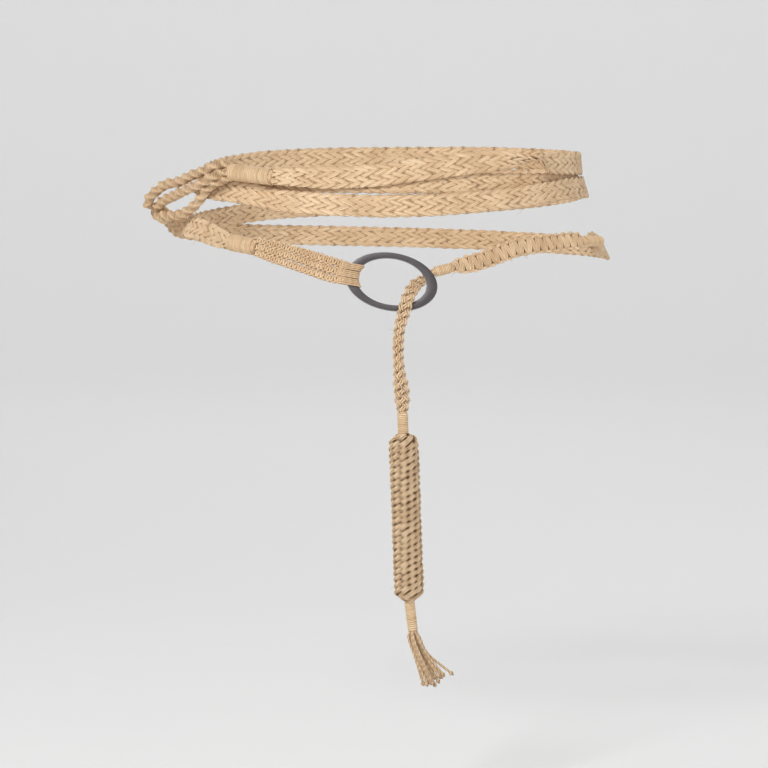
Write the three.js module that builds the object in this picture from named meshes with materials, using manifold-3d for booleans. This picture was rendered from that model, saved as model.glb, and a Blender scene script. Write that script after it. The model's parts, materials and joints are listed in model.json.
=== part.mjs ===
// Rope belt, worn: three turns of flat braid at the waist, one at the hip, a flat ring buckle
// in front and a hanging tail with a knotted bar and a tassel.
// Millimetres, +Z up, the belt's front towards -Y. The origin is the middle of the waist hollow.
import * as THREE from 'three';
import { mergeVertices } from 'three/addons/utils/BufferGeometryUtils.js';
import Module from 'manifold-3d';

// The hollow that the belt goes round: an ellipse at the waist that widens towards the hips
const waistHalfWidth = 127.5;
const waistHalfDepth = 89;
const hipSpreadWidth = 0.62;
const hipSpreadDepth = 0.48;
const hipSpreadEase = 60;
const waistTop = 20;

// Gap between pieces that touch
const clearance = 0.3;

// Flat braid
const braidWidth = 15.6;
const braidThick = 2.8;

// Knotted sennits
const narrowSennitWidth = 6.0;
const narrowSennitThick = 3.2;
const narrowSennitKnots = 15;
const wideSennitWidth = 13.2;
const wideSennitThick = 4.6;
const wideSennitKnots = 17;
const spiralSennitWidth = 5.2;
const spiralSennitThick = 3.9;
const spiralSennitPitch = 9;

// Whippings: bound stretches, by their diameters
const bigWhippingDiameter = 11.6;
const smallWhippingDiameter = 7.2;
const whippingCoilPitch = 3.2;

// Flat ring buckle
const ringLength = 62;
const ringHeight = 39;
const ringEndBand = 7.4;
const ringSideBand = 3.9;
const ringThick = 2.6;
const ringBevel = 0.5;
const ringLean = 12;
const ringRoll = 10.4;
const ringAt = { angle: 359.7, rise: -3.96, lift: 1.7 };

// Strand loops of the narrow sennits round the ring's left end
const loopBand = 3.9;
const loopThick = 1.1;
const loopPitch = 4.7;

// Tail: open braid, whipping, knotted bar, whipping, tassel
const tailWidth = 6.9;
const tailThick = 4.2;
const tailPlaitPitch = 5.6;
const tailWhippingDiameter = 7.4;
const barDiameter = 19.8;
const barLength = 112;
const barRowPitch = 3.9;
const lowerWhippingDiameter = 6.2;
const lowerWhippingLength = 20.5;
const tasselCordDiameter = 1.9;

// Height of a route, in braid widths above the waist, and its distance off the body, in layers
const layerStep = braidThick + 3 * clearance;
const seat = clearance + braidThick / 2;

// Turns of the flat braid, one running angle from the front towards the wearer's right side,
// a full turn being 360 degrees. Width is a share of the braid's; turned counts half turns.
const braidColumns = ['angle', 'rise', 'lift', 'width', 'turned'];
const waistTurns = [
  [46.6, -2.37, 1.16, 0.56, 0], [50.9, -2.28, 0.5, 0.74, 0], [55.4, -2.17, 0.05, 0.9, 0],
  [60.4, -2.01, 0, 1, 0], [66.3, -1.9, 0, 1, 0], [76.8, -1.83, 0, 1, 0], [90, -1.8, 0, 1, 0],
  [105, -1.72, 0, 1, 0], [125, -1.5, 0, 1, 0], [150, -1.2, 0, 1, 0], [168, -1.09, 0, 1, 0],
  [195, -1.04, 1, 1, 0], [215, -0.85, 1, 1, 0], [245, -0.4, 1, 1, 0], [262, -0.13, 1, 1, 0],
  [279, -0.07, 1, 1, 0], [294, -0.09, 1, 1, 0], [306, -0.22, 1, 1, 0], [316, -0.37, 1, 1, 0],
  [332, -0.55, 1, 1, 0], [351, -0.73, 1, 1, 0], [361.4, -0.76, 1, 1, 0], [377, -0.69, 1, 1, 0],
  [386, -0.6, 1, 1, 0], [394.4, -0.5, 1, 1, 0], [404, -0.28, 1, 1, 0], [413, -0.17, 1, 1, 0],
  [422, -0.1, 1, 1, 0], [434, 0.06, 1, 1, 0], [446, 0.16, 1, 1, 0], [480, 0.1, 1, 1, 0],
  [500, 0.05, 0.9, 1, 0], [522, 0.03, 0, 1, 0],
  [545, 0.04, 0, 1, 0], [575, 0.1, 0, 1, 0], [605, 0.2, 0, 1, 0], [642, 0.25, 0, 1, 0],
  [667, 0.14, 0, 1, 0], [688, 0.17, 0, 1, 0], [711, 0.25, 0, 1, 0], [748, 0.3, 0, 1, 0],
  [790, 0.38, 0, 1, 0], [810, 0.45, 0, 1, 0], [840, 0.8, 0, 1, 0], [860, 1.0, 0, 1, 0], [880, 1.09, 0, 1, 0],
  [902, 1.12, 0, 1, 0], [930, 1.13, 1, 1, 0], [960, 1.05, 1, 1, 0], [985, 0.98, 1, 1, 0],
  [1000, 0.97, 1, 1, 0], [1018, 1.0, 1, 1, 0], [1026, 1.05, 1.2, 0.94, 0.04],
  [1031, 1.13, 1.9, 0.76, 0.3], [1035, 1.22, 2.4, 0.66, 0.55], [1040.3, 1.21, 1.9, 0.72, 0.82],
  [1046, 1.17, 1.2, 0.9, 0.97], [1052, 1.13, 1, 1, 1], [1059, 1.03, 1, 1, 1],
  [1065, 0.92, 1, 1, 1], [1074.3, 0.76, 1, 1, 1], [1081.5, 0.61, 1, 1, 1],
  [1090, 0.5, 1, 1, 1], [1097.6, 0.45, 1, 1, 1], [1105, 0.47, 1.5, 0.9, 1],
  [1110, 0.48, 2.5, 0.72, 1], [1113.7, 0.49, 3.02, 0.58, 1],
];
const firstCut = 445;
const secondCut = 810;
const hipTurn = [
  [1183.3, -1.52, 5.9, 0.54, 0], [1185.5, -1.64, 5.6, 0.72, 0], [1188.5, -1.8, 5.1, 0.95, 0],
  [1192.6, -2.02, 4.6, 1, 0], [1203, -2.25, 3.2, 1, 0], [1218, -2.4, 1.5, 1, 0],
  [1236, -2.5, 1, 1, 0], [1256, -2.58, 0, 1, 0], [1290, -2.72, 0, 1, 0], [1320, -2.84, 0, 1, 0],
  [1342, -2.9, 0, 1, 0], [1350, -2.86, 0, 1.08, 0], [1357, -2.76, 0, 1.26, 0],
  [1363, -2.64, 0, 1.3, 0], [1367.5, -2.56, 0, 1.2, 0], [1370, -2.53, 0, 0.92, 0],
];

// Sennits, by the same angle, rise and lift. Width is a share of the sennit's own.
const sennitColumns = ['angle', 'rise', 'lift', 'width'];
const narrowSennits = {
  sennit_top: [
    [36.5, -2.28, 1.16, 0.68], [32, -2.42, 1.0, 0.74], [23.5, -2.71, 0.95, 0.78],
    [15, -3.06, 2.2, 0.92], [13.2, -3.13, 2.5, 0.84],
  ],
  sennit_middle: [
    [36.2, -2.56, 1.16, 0.68], [31.6, -2.73, 1.0, 0.76], [23.1, -3.055, 0.95, 0.77],
    [15, -3.415, 2.1, 0.88], [13.4, -3.485, 2.4, 0.82],
  ],
  sennit_bottom: [
    [35.9, -2.83, 1.16, 0.68], [31.2, -3.03, 1.0, 0.76], [22.7, -3.42, 0.95, 0.78],
    [15, -3.78, 1.8, 0.92], [13.6, -3.85, 2.1, 0.84],
  ],
};
const wideSennitRoute = [
  [298.3, -2.39, 1.12, 0.5], [300.3, -2.38, 0.94, 0.86], [302.8, -2.37, 0.78, 1],
  [306.6, -2.39, 0.62, 1], [312.3, -2.44, 0.62, 1], [319.6, -2.5, 0.62, 1], [325.9, -2.62, 0.62, 1],
  [330.8, -2.83, 0.7, 1], [334.9, -3.03, 0.85, 1], [339.8, -3.23, 1.2, 1], [343.3, -3.33, 1.45, 0.84],
  [345, -3.375, 1.58, 0.5],
];
const spiralSennits = {
  spiral_sennit_outer: [
    [50.2, 0.93, 3.1, 0.7], [54, 1.02, 3.7, 0.95], [57.5, 0.84, 4.0, 1], [61.3, 0.7, 4.2, 1],
    [69, 0.5, 4.3, 1], [77, 0.2, 4.9, 1], [84.2, 0.06, 6.7, 1], [90, -0.31, 8.3, 1],
    [93.2, -0.62, 9.2, 1], [95.8, -0.92, 9.3, 0.9], [98.35, -1.0, 8.05, 0.62],
  ],
  spiral_sennit_middle: [
    [50.35, 0.67, 3.4, 0.7], [55, 0.52, 4.3, 0.95], [61.3, 0.17, 4.3, 1], [71, -0.12, 4.1, 1],
    [80.7, -0.42, 4.6, 1], [90, -0.72, 6.25, 1], [95.4, -1.04, 7.3, 0.9], [98.1, -1.19, 7.2, 0.62],
  ],
  spiral_sennit_inner: [
    [50.4, 0.42, 3.0, 0.7], [56, 0.22, 3.2, 0.95], [61.5, -0.1, 2.9, 1], [66.3, -0.51, 2.1, 1],
    [73, -0.97, 1.7, 1], [80.2, -1.26, 2.1, 1], [86.9, -1.36, 3.6, 1], [93, -1.4, 5.8, 0.9],
    [97.35, -1.45, 7.15, 0.58],
  ],
};

// Whippings that lie on the body, from one end to the other
const bodyWhippings = {
  whipping_left: { diameter: bigWhippingDiameter, ends: [[37.1, -2.55, 1.18], [45.9, -2.38, 1.18]] },
  whipping_upper: { diameter: bigWhippingDiameter, ends: [[34.4, 0.49, 3.08], [49.9, 0.67, 3.16]] },
  whipping_back: { diameter: bigWhippingDiameter, ends: [[98.8, -1.18, 7.4], [102.9, -1.49, 6.1]] },
  whipping_right: { diameter: smallWhippingDiameter, ends: [[288.5, -2.43, 1.75], [297.9, -2.39, 1.16]] },
  whipping_buckle: { diameter: smallWhippingDiameter, ends: [[345.5, -3.39, 1.6], [349.2, -3.55, 1.3]] },
};

// Route of the tail from behind the ring, up through it and down in front: points measured
// from the ring's middle, to the right, back and up
const tailPoints = [
  [21.6, 4.2, 1.6], [16.6, 1.0, -1.2], [13.3, -3.6, -5.2],
  [10.9, -5.9, -10.4], [9.1, -7.4, -15.8], [7.2, -8.2, -23.2], [5.5, -8.2, -29.6],
  [4.5, -7.6, -39], [4.4, -7, -48], [5.2, -6.8, -60], [6.6, -6.6, -71], [7.1, -6.5, -79.5],
  [7.3, -6.5, -87],
];
const tailWidths = [
  [0, 0.72], [0.08, 0.8], [0.2, 1.0], [0.34, 1.12], [0.5, 1.0], [0.7, 1.0], [0.84, 1.22],
  [0.93, 1.18], [1, 0.82],
];
const tailWhippingLength = 14;
const barTilt = 2.1;
const lowerTilt = 6.8;

// Locks of the tassel: where each ends below the whipping, to the right, back and up
const tasselLocks = [
  { cords: 1, tip: [7.2, 0.8, -38.0], bulge: [1.6, 0.4, -18] },
  { cords: 2, tip: [12.2, -1.6, -34.5], bulge: [3.2, -1.4, -17] },
  { cords: 2, tip: [15.4, 1.6, -30.5], bulge: [6.0, 1.8, -14] },
  { cords: 2, tip: [18.6, -0.8, -27.8], bulge: [8.4, -0.6, -12] },
  { cords: 1, tip: [25.6, 0.6, -28.6], bulge: [12.4, 1.0, -10.5] },
];

const jute = 0xe2c496;
const bound = 0xdcbb88;
const gunmetal = 0x6e696c;

const radians = (degrees) => degrees * Math.PI / 180;

// Smooth value of each column of a table at one place of its first column, without overshoot
function slopesOf(rows, column) {
  const steps = rows.slice(1).map((row, i) => (row[column] - rows[i][column]) / (row[0] - rows[i][0]));
  return rows.map((row, i) => {
    if (i === 0) return steps[0];
    if (i === steps.length) return steps[i - 1];
    if (steps[i - 1] * steps[i] <= 0) return 0;
    return 2 * steps[i - 1] * steps[i] / (steps[i - 1] + steps[i]);
  });
}

function tableReader(table, columns) {
  const rows = [...table].sort((one, other) => one[0] - other[0]);
  const slopes = columns.map((name, column) => slopesOf(rows, column));
  return (place) => {
    let i = rows.findIndex((row) => row[0] >= place) - 1;
    if (i < 0) i = place <= rows[0][0] ? 0 : rows.length - 2;
    const width = rows[i + 1][0] - rows[i][0];
    const t = (place - rows[i][0]) / width;
    const values = {};
    columns.forEach((name, column) => {
      const [a, b] = [rows[i][column], rows[i + 1][column]];
      const [m, n] = [slopes[column][i] * width, slopes[column][i + 1] * width];
      values[name] = a * (1 + 2 * t) * (1 - t) ** 2 + b * t * t * (3 - 2 * t)
        + m * t * (1 - t) ** 2 - n * t * t * (1 - t);
    });
    values[columns[0]] = place;
    return values;
  };
}

// A point round the body: angle in degrees, rise in braid widths, lift in layers
function bodyPoint(angle, rise, lift) {
  const a = radians(angle);
  const height = rise * braidWidth;
  const drop = Math.max(0, waistTop - height);
  const spread = drop * drop / (drop + hipSpreadEase);
  const off = seat + lift * layerStep;
  const halfWidth = waistHalfWidth + hipSpreadWidth * spread + off;
  const halfDepth = waistHalfDepth + hipSpreadDepth * spread + off;
  return new THREE.Vector3(-halfWidth * Math.sin(a), -halfDepth * Math.cos(a), height);
}

// Outward direction of the body's surface there
function bodyNormal(angle, rise, lift) {
  const along = bodyPoint(angle + 1, rise, lift).sub(bodyPoint(angle - 1, rise, lift));
  const up = bodyPoint(angle, rise + 0.05, lift).sub(bodyPoint(angle, rise - 0.05, lift));
  return up.cross(along).negate().normalize();
}

function bodyStation(row) {
  return {
    point: bodyPoint(row.angle, row.rise, row.lift),
    normal: bodyNormal(row.angle, row.rise, row.lift),
    width: row.width,
    turned: row.turned ?? 0,
  };
}

// Stations at even steps of angle along a table of rows, or along the part of it between two angles
function stationsOnBody(rows, columns, steps, first = rows[0][0], last = rows[rows.length - 1][0]) {
  const read = tableReader(rows, columns);
  const half = (last - first) / steps / 2;
  const stations = [];
  for (let i = 0; i <= steps; i += 1) {
    const angle = first + (last - first) * i / steps;
    const station = bodyStation(read(angle));
    station.along = bodyStation(read(angle + half)).point.sub(bodyStation(read(angle - half)).point).normalize();
    stations.push(station);
  }
  return stations;
}

// Closed solid through the sections at each station; a section is points across and outwards
function loft(stations, sectionAt) {
  const points = [];
  const last = stations.length - 1;
  let sides = 0;
  stations.forEach((station, i) => {
    const before = stations[Math.max(0, i - 1)].point;
    const after = stations[Math.min(last, i + 1)].point;
    const along = station.along ?? after.clone().sub(before).normalize();
    const out = station.normal.clone().addScaledVector(along, -station.normal.dot(along)).normalize();
    if (station.turned) out.applyAxisAngle(along, Math.PI * station.turned);
    const across = out.clone().cross(along);
    const section = sectionAt(station, i / last, i);
    sides = section.length;
    section.forEach(([x, y]) => {
      points.push(station.point.clone().addScaledVector(across, x).addScaledVector(out, y));
    });
  });
  const triangles = [];
  for (let i = 0; i < last; i += 1) {
    for (let k = 0; k < sides; k += 1) {
      const [a, b] = [i * sides + k, i * sides + (k + 1) % sides];
      triangles.push([a, b, b + sides], [a, b + sides, a + sides]);
    }
  }
  for (let k = 1; k < sides - 1; k += 1) {
    triangles.push([0, k + 1, k], [last * sides, last * sides + k, last * sides + k + 1]);
  }
  return facingOut(points, triangles);
}

function facingOut(points, triangles) {
  const volume = triangles.reduce((sum, [a, b, c]) => (
    sum + points[a].dot(points[b].clone().cross(points[c]))), 0);
  const order = volume < 0 ? triangles.map(([a, b, c]) => [a, c, b]) : triangles;
  const geometry = new THREE.BufferGeometry();
  geometry.setAttribute('position', new THREE.Float32BufferAttribute(points.flatMap((p) => p.toArray()), 3));
  geometry.setIndex(order.flat());
  return geometry;
}

// Sections: a strip with rounded edges, and a round
function stripSection(width, thick) {
  const [w, t] = [width / 2, thick / 2];
  return [[-w, -0.4 * t], [-0.86 * w, -t], [0.86 * w, -t], [w, -0.4 * t],
    [w, 0.4 * t], [0.86 * w, t], [-0.86 * w, t], [-w, 0.4 * t]];
}

function roundSection(width, thick, sides) {
  return Array.from({ length: sides }, (unused, k) => {
    const a = 2 * Math.PI * k / sides;
    return [width / 2 * Math.cos(a), thick / 2 * Math.sin(a)];
  });
}

// Union of closed geometries
const wasm = await Module();
wasm.setup();

function solidOf(geometry) {
  const plain = geometry.clone();
  plain.deleteAttribute('normal');
  plain.deleteAttribute('uv');
  const welded = mergeVertices(plain, 1e-4);
  return new wasm.Manifold(new wasm.Mesh({
    numProp: 3,
    vertProperties: new Float32Array(welded.attributes.position.array),
    triVerts: new Uint32Array(welded.index.array),
  }));
}

function joined(geometries) {
  const whole = geometries.map(solidOf).reduce((sum, next) => sum.add(next));
  const mesh = whole.getMesh();
  const geometry = new THREE.BufferGeometry();
  geometry.setAttribute('position', new THREE.BufferAttribute(new Float32Array(mesh.vertProperties), 3));
  geometry.setIndex(new THREE.BufferAttribute(new Uint32Array(mesh.triVerts), 1));
  return geometry;
}

const belt = new THREE.Group();

function addPiece(name, geometry, colour = jute, metal = false) {
  const flat = geometry.index ? geometry.toNonIndexed() : geometry;
  flat.computeVertexNormals();
  const material = new THREE.MeshStandardMaterial({
    color: colour, roughness: metal ? 0.38 : 0.85, metalness: metal ? 0.9 : 0,
  });
  const mesh = new THREE.Mesh(flat, material);
  mesh.name = name;
  belt.add(mesh);
}

// Flat braid between two angles of a table: where it narrows into a whipping it also thickens.
// A hair of angle is taken off each end, so that butting pieces keep the clearance.
function braidStrip(rows, degreesPerStep, from = rows[0][0], to = rows[rows.length - 1][0]) {
  const trim = THREE.MathUtils.radToDeg(clearance / waistHalfDepth) / 2;
  const steps = Math.round((to - from) / degreesPerStep);
  return loft(stationsOnBody(rows, braidColumns, steps, from + trim, to - trim), (station) => (
    stripSection(braidWidth * station.width, braidThick * Math.min(1.5, station.width ** -0.6))));
}

addPiece('strap_lower', braidStrip(waistTurns, 7, waistTurns[0][0], firstCut));
addPiece('strap_middle', braidStrip(waistTurns, 7, firstCut, secondCut));
addPiece('strap_upper', braidStrip(waistTurns, 4.5, secondCut));
addPiece('strap_hip', braidStrip(hipTurn, 4.5));

// Ring frame: its middle on the body, leaned back at the top and rolled down to the right
const ringMiddle = bodyPoint(ringAt.angle, ringAt.rise, ringAt.lift);
const ringUpright = new THREE.Vector3(0, Math.sin(radians(ringLean)), Math.cos(radians(ringLean)));
const ringOut = new THREE.Vector3(0, -Math.cos(radians(ringLean)), Math.sin(radians(ringLean)));
const ringAcross = new THREE.Vector3(1, 0, 0).applyAxisAngle(ringOut, -radians(ringRoll));
const ringUp = ringUpright.clone().applyAxisAngle(ringOut, -radians(ringRoll));

function onRing(across, up, out) {
  return ringMiddle.clone().addScaledVector(ringAcross, across).addScaledVector(ringUp, up)
    .addScaledVector(ringOut, out);
}

// Flat oval band, wide at its two ends and slim above and below, with a bevel on each edge
function ringGeometry() {
  const turns = 40;
  const half = ringThick / 2;
  const profile = [
    [0, half - ringBevel], [ringBevel, half], [1, half], [1, half - ringBevel],
    [1, ringBevel - half], [1, -half], [ringBevel, -half], [0, ringBevel - half],
  ];
  const points = [];
  for (let i = 0; i < turns; i += 1) {
    const a = 2 * Math.PI * i / turns;
    const outer = [ringLength / 2 * Math.cos(a), ringHeight / 2 * Math.sin(a)];
    const inner = [(ringLength / 2 - ringEndBand) * Math.cos(a), (ringHeight / 2 - ringSideBand) * Math.sin(a)];
    const band = Math.hypot(outer[0] - inner[0], outer[1] - inner[1]);
    const inset = ringBevel / band;
    profile.forEach(([share, out], k) => {
      const t = [0, inset, 1 - inset, 1, 1, 1 - inset, inset, 0][k];
      points.push(onRing(outer[0] + (inner[0] - outer[0]) * t, outer[1] + (inner[1] - outer[1]) * t, out));
    });
  }
  const sides = profile.length;
  const triangles = [];
  for (let i = 0; i < turns; i += 1) {
    for (let k = 0; k < sides; k += 1) {
      const [a, b] = [i * sides + k, i * sides + (k + 1) % sides];
      const [c, d] = [((i + 1) % turns) * sides + k, ((i + 1) % turns) * sides + (k + 1) % sides];
      triangles.push([a, b, d], [a, d, c]);
    }
  }
  return facingOut(points, triangles);
}
addPiece('buckle_ring', ringGeometry(), gunmetal, true);

// The ring's left limb at one height up the ring: its outer and inner edge
function limbEdges(up) {
  const [outerRise, innerRise] = [ringHeight / 2, ringHeight / 2 - ringSideBand];
  return [
    -ringLength / 2 * Math.sqrt(1 - (up / outerRise) ** 2),
    -(ringLength / 2 - ringEndBand) * Math.sqrt(1 - (up / innerRise) ** 2),
  ];
}

// Loop of strands round that limb, its two rims following the limb's slant
function strandLoop(up) {
  const corner = 0.7;
  const slack = 1.5 * clearance;
  const outline = (height, grow) => {
    const [outer, inner] = limbEdges(height);
    const [left, right] = [outer - slack - grow, inner + slack + grow];
    const h = ringThick / 2 + clearance + grow;
    const c = corner + grow * 0.6;
    return [[left, c - h], [left + c, -h], [right - c, -h], [right, c - h],
      [right, h - c], [right - c, h], [left + c, h], [left, h - c]];
  };
  const points = [];
  [up - loopBand / 2, up + loopBand / 2].forEach((height) => {
    [0, loopThick].forEach((grow) => {
      outline(height, grow).forEach(([x, y]) => points.push(onRing(x, height, y)));
    });
  });
  const n = outline(up, 0).length;
  const triangles = [];
  const quad = (a, b, c, d) => triangles.push([a, b, c], [a, c, d]);
  for (let k = 0; k < n; k += 1) {
    const j = (k + 1) % n;
    quad(k, j, n + j, n + k);
    quad(2 * n + j, 2 * n + k, 3 * n + k, 3 * n + j);
    quad(n + k, n + j, 3 * n + j, 3 * n + k);
    quad(j, k, 2 * n + k, 2 * n + j);
  }
  return facingOut(points, triangles);
}

// Square-knot sennit: each knot swells and narrows again; it ends in its loop
function knottedStrip(stations, width, thick, knots) {
  return loft(stations, (station, share) => {
    const swell = Math.abs(Math.sin(Math.PI * knots * share));
    const end = Math.min(1, Math.min(share, 1 - share) * knots);
    return stripSection(width * station.width * (1 - 0.12 * end * (1 - swell)),
      thick * (0.8 + 0.2 * swell));
  });
}

Object.entries(narrowSennits).forEach(([name, rows], i) => {
  const up = loopPitch * (1 - i);
  const joinAt = limbEdges(up)[0] - 1.5 * clearance - loopThick / 2;
  const steps = narrowSennitKnots * 2 - 1;
  const onHip = stationsOnBody(rows, sennitColumns, steps);
  const end = { point: onRing(joinAt, up, 0), normal: ringOut, width: 0.62, turned: 0 };
  const last = onHip[onHip.length - 1];
  const between = {
    point: last.point.clone().lerp(end.point, 0.55), normal: last.normal.clone().lerp(ringOut, 0.6).normalize(),
    width: 0.78, turned: 0,
  };
  const body = knottedStrip([...onHip, between, end], narrowSennitWidth, narrowSennitThick, narrowSennitKnots);
  addPiece(name, joined([body, strandLoop(up)]));
});

addPiece('wide_sennit', knottedStrip(
  stationsOnBody(wideSennitRoute, sennitColumns, wideSennitKnots * 2), wideSennitWidth, wideSennitThick,
  wideSennitKnots));

// Spiral sennit: an oval section that turns steadily, so that its ridge winds round it
Object.entries(spiralSennits).forEach(([name, rows]) => {
  const stations = stationsOnBody(rows, sennitColumns, 28);
  const length = stations.slice(1).reduce((sum, s, i) => sum + s.point.distanceTo(stations[i].point), 0);
  const turns = length / spiralSennitPitch;
  addPiece(name, loft(stations, (station, share) => (
    roundSection(spiralSennitWidth * station.width, spiralSennitThick * station.width, 8)
      .map(([x, y]) => {
        const a = Math.PI * turns * share;
        return [x * Math.cos(a) - y * Math.sin(a), x * Math.sin(a) + y * Math.cos(a)];
      }))));
});

// Whipping: a bound stretch between two points, its coils shown as low ridges
function whipping(from, to, diameter, pitch = whippingCoilPitch) {
  const coils = Math.max(2, Math.round(from.distanceTo(to) / pitch));
  const normal = new THREE.Vector3(0, 0, 1);
  if (Math.abs(to.clone().sub(from).normalize().z) > 0.8) normal.set(0, -1, 0);
  const stations = [];
  for (let i = 0; i <= 2 * coils; i += 1) {
    stations.push({ point: from.clone().lerp(to, i / (2 * coils)), normal, width: 1, turned: 0 });
  }
  return loft(stations, (station, share, i) => {
    const d = diameter * (i % 2 ? 1 : 0.94);
    return roundSection(d, d, 10);
  });
}

Object.entries(bodyWhippings).forEach(([name, { diameter, ends }]) => {
  const [from, to] = ends.map((row) => bodyPoint(...row));
  addPiece(name, whipping(from, to, diameter), bound);
});

// Tail braid along its route
const [buckleStart, buckleEnd] = bodyWhippings.whipping_buckle.ends.map((row) => bodyPoint(...row));
const tailLead = buckleEnd.clone().sub(buckleStart).normalize();
const straightStart = [clearance, 3.4].map((length) => buckleEnd.clone().addScaledVector(tailLead, length));
const tailRoute = new THREE.CatmullRomCurve3(
  [...straightStart, ...tailPoints.map((place) => ringMiddle.clone().add(new THREE.Vector3(...place)))],
  false, 'centripetal');
const tailSteps = Math.round(2 * tailRoute.getLength() / tailPlaitPitch);
const readTailWidth = tableReader(tailWidths, ['share', 'width']);
const tailStations = [];
for (let i = 0; i <= tailSteps; i += 1) {
  const share = i / tailSteps;
  tailStations.push({
    point: tailRoute.getPointAt(share), normal: new THREE.Vector3(0, -1, 0),
    width: readTailWidth(share).width, turned: 0,
  });
}
addPiece('tail_braid', loft(tailStations, (station, share, i) => (
  roundSection(tailWidth * station.width * (i % 2 ? 1 : 0.88), tailThick * (i % 2 ? 1 : 0.9), 8))));

// Below the braid: whipping, bar and lower whipping, each hanging at its own slight tilt
const hangingAt = (tilt) => new THREE.Vector3(Math.sin(radians(tilt)), 0, -Math.cos(radians(tilt)));
const down = hangingAt(barTilt);
let place = tailStations[tailSteps].point.clone().addScaledVector(down, clearance);

function nextPlace(length, direction = down) {
  const start = place.clone();
  const end = start.clone().addScaledVector(direction, length);
  place = end.clone().addScaledVector(direction, clearance);
  return [start, end];
}

addPiece('whipping_tail_top', whipping(...nextPlace(tailWhippingLength), tailWhippingDiameter), bound);

// Bar of knots in rings, each row swelling, with rounded shoulders
const [barTop, barBottom] = nextPlace(barLength);
const barRows = Math.round(barLength / barRowPitch);
const barStations = [];
for (let i = 0; i <= 2 * barRows; i += 1) {
  barStations.push({
    point: barTop.clone().lerp(barBottom, i / (2 * barRows)), normal: new THREE.Vector3(0, -1, 0), width: 1, turned: 0,
  });
}
addPiece('knotted_bar', loft(barStations, (station, share, i) => {
  const shoulder = Math.sqrt(1 - Math.max(0, 1 - Math.min(i, 2 * barRows - i) / 2) ** 2 * 0.75);
  const d = barDiameter * shoulder * (i % 2 ? 1 : 0.93);
  return roundSection(d, d, 10);
}));

const lowerDown = hangingAt(lowerTilt);
place.addScaledVector(lowerDown, clearance);
const [lowerTop, lowerBottom] = nextPlace(lowerWhippingLength, lowerDown);
addPiece('whipping_tail_bottom', whipping(lowerTop, lowerBottom, lowerWhippingDiameter), bound);

// Tassel: locks of loose cord that spread from a short head under the whipping
const tasselTop = place.clone();
const headLength = 3;
const tasselHead = whipping(tasselTop, tasselTop.clone().addScaledVector(lowerDown, headLength),
  lowerWhippingDiameter * 0.86, headLength / 2);
const locks = tasselLocks.map(({ cords, tip, bulge }, i) => {
  const start = tasselTop.clone().addScaledVector(lowerDown, headLength / 2);
  start.x += (i - (tasselLocks.length - 1) / 2) * tasselCordDiameter * 0.6;
  const end = tasselTop.clone().add(new THREE.Vector3(...tip));
  const middle = tasselTop.clone().add(new THREE.Vector3(...bulge));
  const curve = new THREE.CatmullRomCurve3([start, middle, end], false, 'centripetal');
  const steps = 7;
  const stations = [];
  for (let k = 0; k <= steps; k += 1) {
    stations.push({ point: curve.getPointAt(k / steps), normal: new THREE.Vector3(0, -1, 0), width: 1, turned: 0 });
  }
  return loft(stations, (station, share) => {
    const knot = share > 0.85 ? 1.25 : 1;
    return roundSection(tasselCordDiameter * cords * knot, tasselCordDiameter * knot, 6);
  });
});
addPiece('tassel', joined([tasselHead, ...locks]));

export default belt;
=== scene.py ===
# Rope belt in knotted jute: flat braids, sennits, whippings, ring buckle and hanging tail
import json
import math

import bpy
import numpy as np
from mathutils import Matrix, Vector

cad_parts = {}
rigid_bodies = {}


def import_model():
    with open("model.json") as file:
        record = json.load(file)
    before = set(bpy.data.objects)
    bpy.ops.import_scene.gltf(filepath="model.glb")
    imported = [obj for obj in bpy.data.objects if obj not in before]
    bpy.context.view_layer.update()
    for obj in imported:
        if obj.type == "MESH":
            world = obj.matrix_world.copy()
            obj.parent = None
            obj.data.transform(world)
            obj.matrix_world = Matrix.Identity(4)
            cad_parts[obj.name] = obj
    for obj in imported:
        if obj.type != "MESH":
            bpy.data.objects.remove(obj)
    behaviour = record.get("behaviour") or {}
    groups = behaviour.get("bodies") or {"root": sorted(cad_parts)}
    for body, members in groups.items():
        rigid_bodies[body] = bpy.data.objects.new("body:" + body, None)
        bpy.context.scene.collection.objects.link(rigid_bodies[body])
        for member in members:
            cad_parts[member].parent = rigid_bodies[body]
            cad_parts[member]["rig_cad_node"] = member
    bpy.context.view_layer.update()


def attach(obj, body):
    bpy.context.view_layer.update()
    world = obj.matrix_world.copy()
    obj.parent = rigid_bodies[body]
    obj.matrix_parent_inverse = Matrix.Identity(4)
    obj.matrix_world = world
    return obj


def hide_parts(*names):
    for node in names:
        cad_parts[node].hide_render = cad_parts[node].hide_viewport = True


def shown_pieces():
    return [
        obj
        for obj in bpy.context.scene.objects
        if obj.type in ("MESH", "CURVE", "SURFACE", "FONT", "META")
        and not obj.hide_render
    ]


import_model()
mm = 0.001

# Camera, at the photograph's angle
camera = {
    "place": (-0.0042, -2.60291, 0.06512), "target": (-0.0042, -0.01093, -0.13887), "fieldOfView": 11.805,
}


def addCamera():
    data = bpy.data.cameras.new("camera")
    data.sensor_width = 36
    data.lens = 18 / math.tan(math.radians(camera["fieldOfView"]) / 2)
    data.clip_end = 50
    holder = bpy.data.objects.new("camera", data)
    holder.location = camera["place"]
    look = Vector(camera["target"]) - Vector(camera["place"])
    holder.rotation_euler = look.to_track_quat("-Z", "Y").to_euler()
    bpy.context.collection.objects.link(holder)
    bpy.context.scene.camera = holder


addCamera()

# The hollow that the belt goes round, in metres. A place on it has an angle in degrees from the
# front, a rise in braid widths above the waist and a lift in layers off the hollow
hollow = {
    "halfWidth": 0.1275, "halfDepth": 0.089, "spreadWidth": 0.62, "spreadDepth": 0.48,
    "spreadEase": 0.060, "top": 0.020, "riseUnit": 0.0156, "layer": 0.0037, "seat": 0.0017,
}


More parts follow.
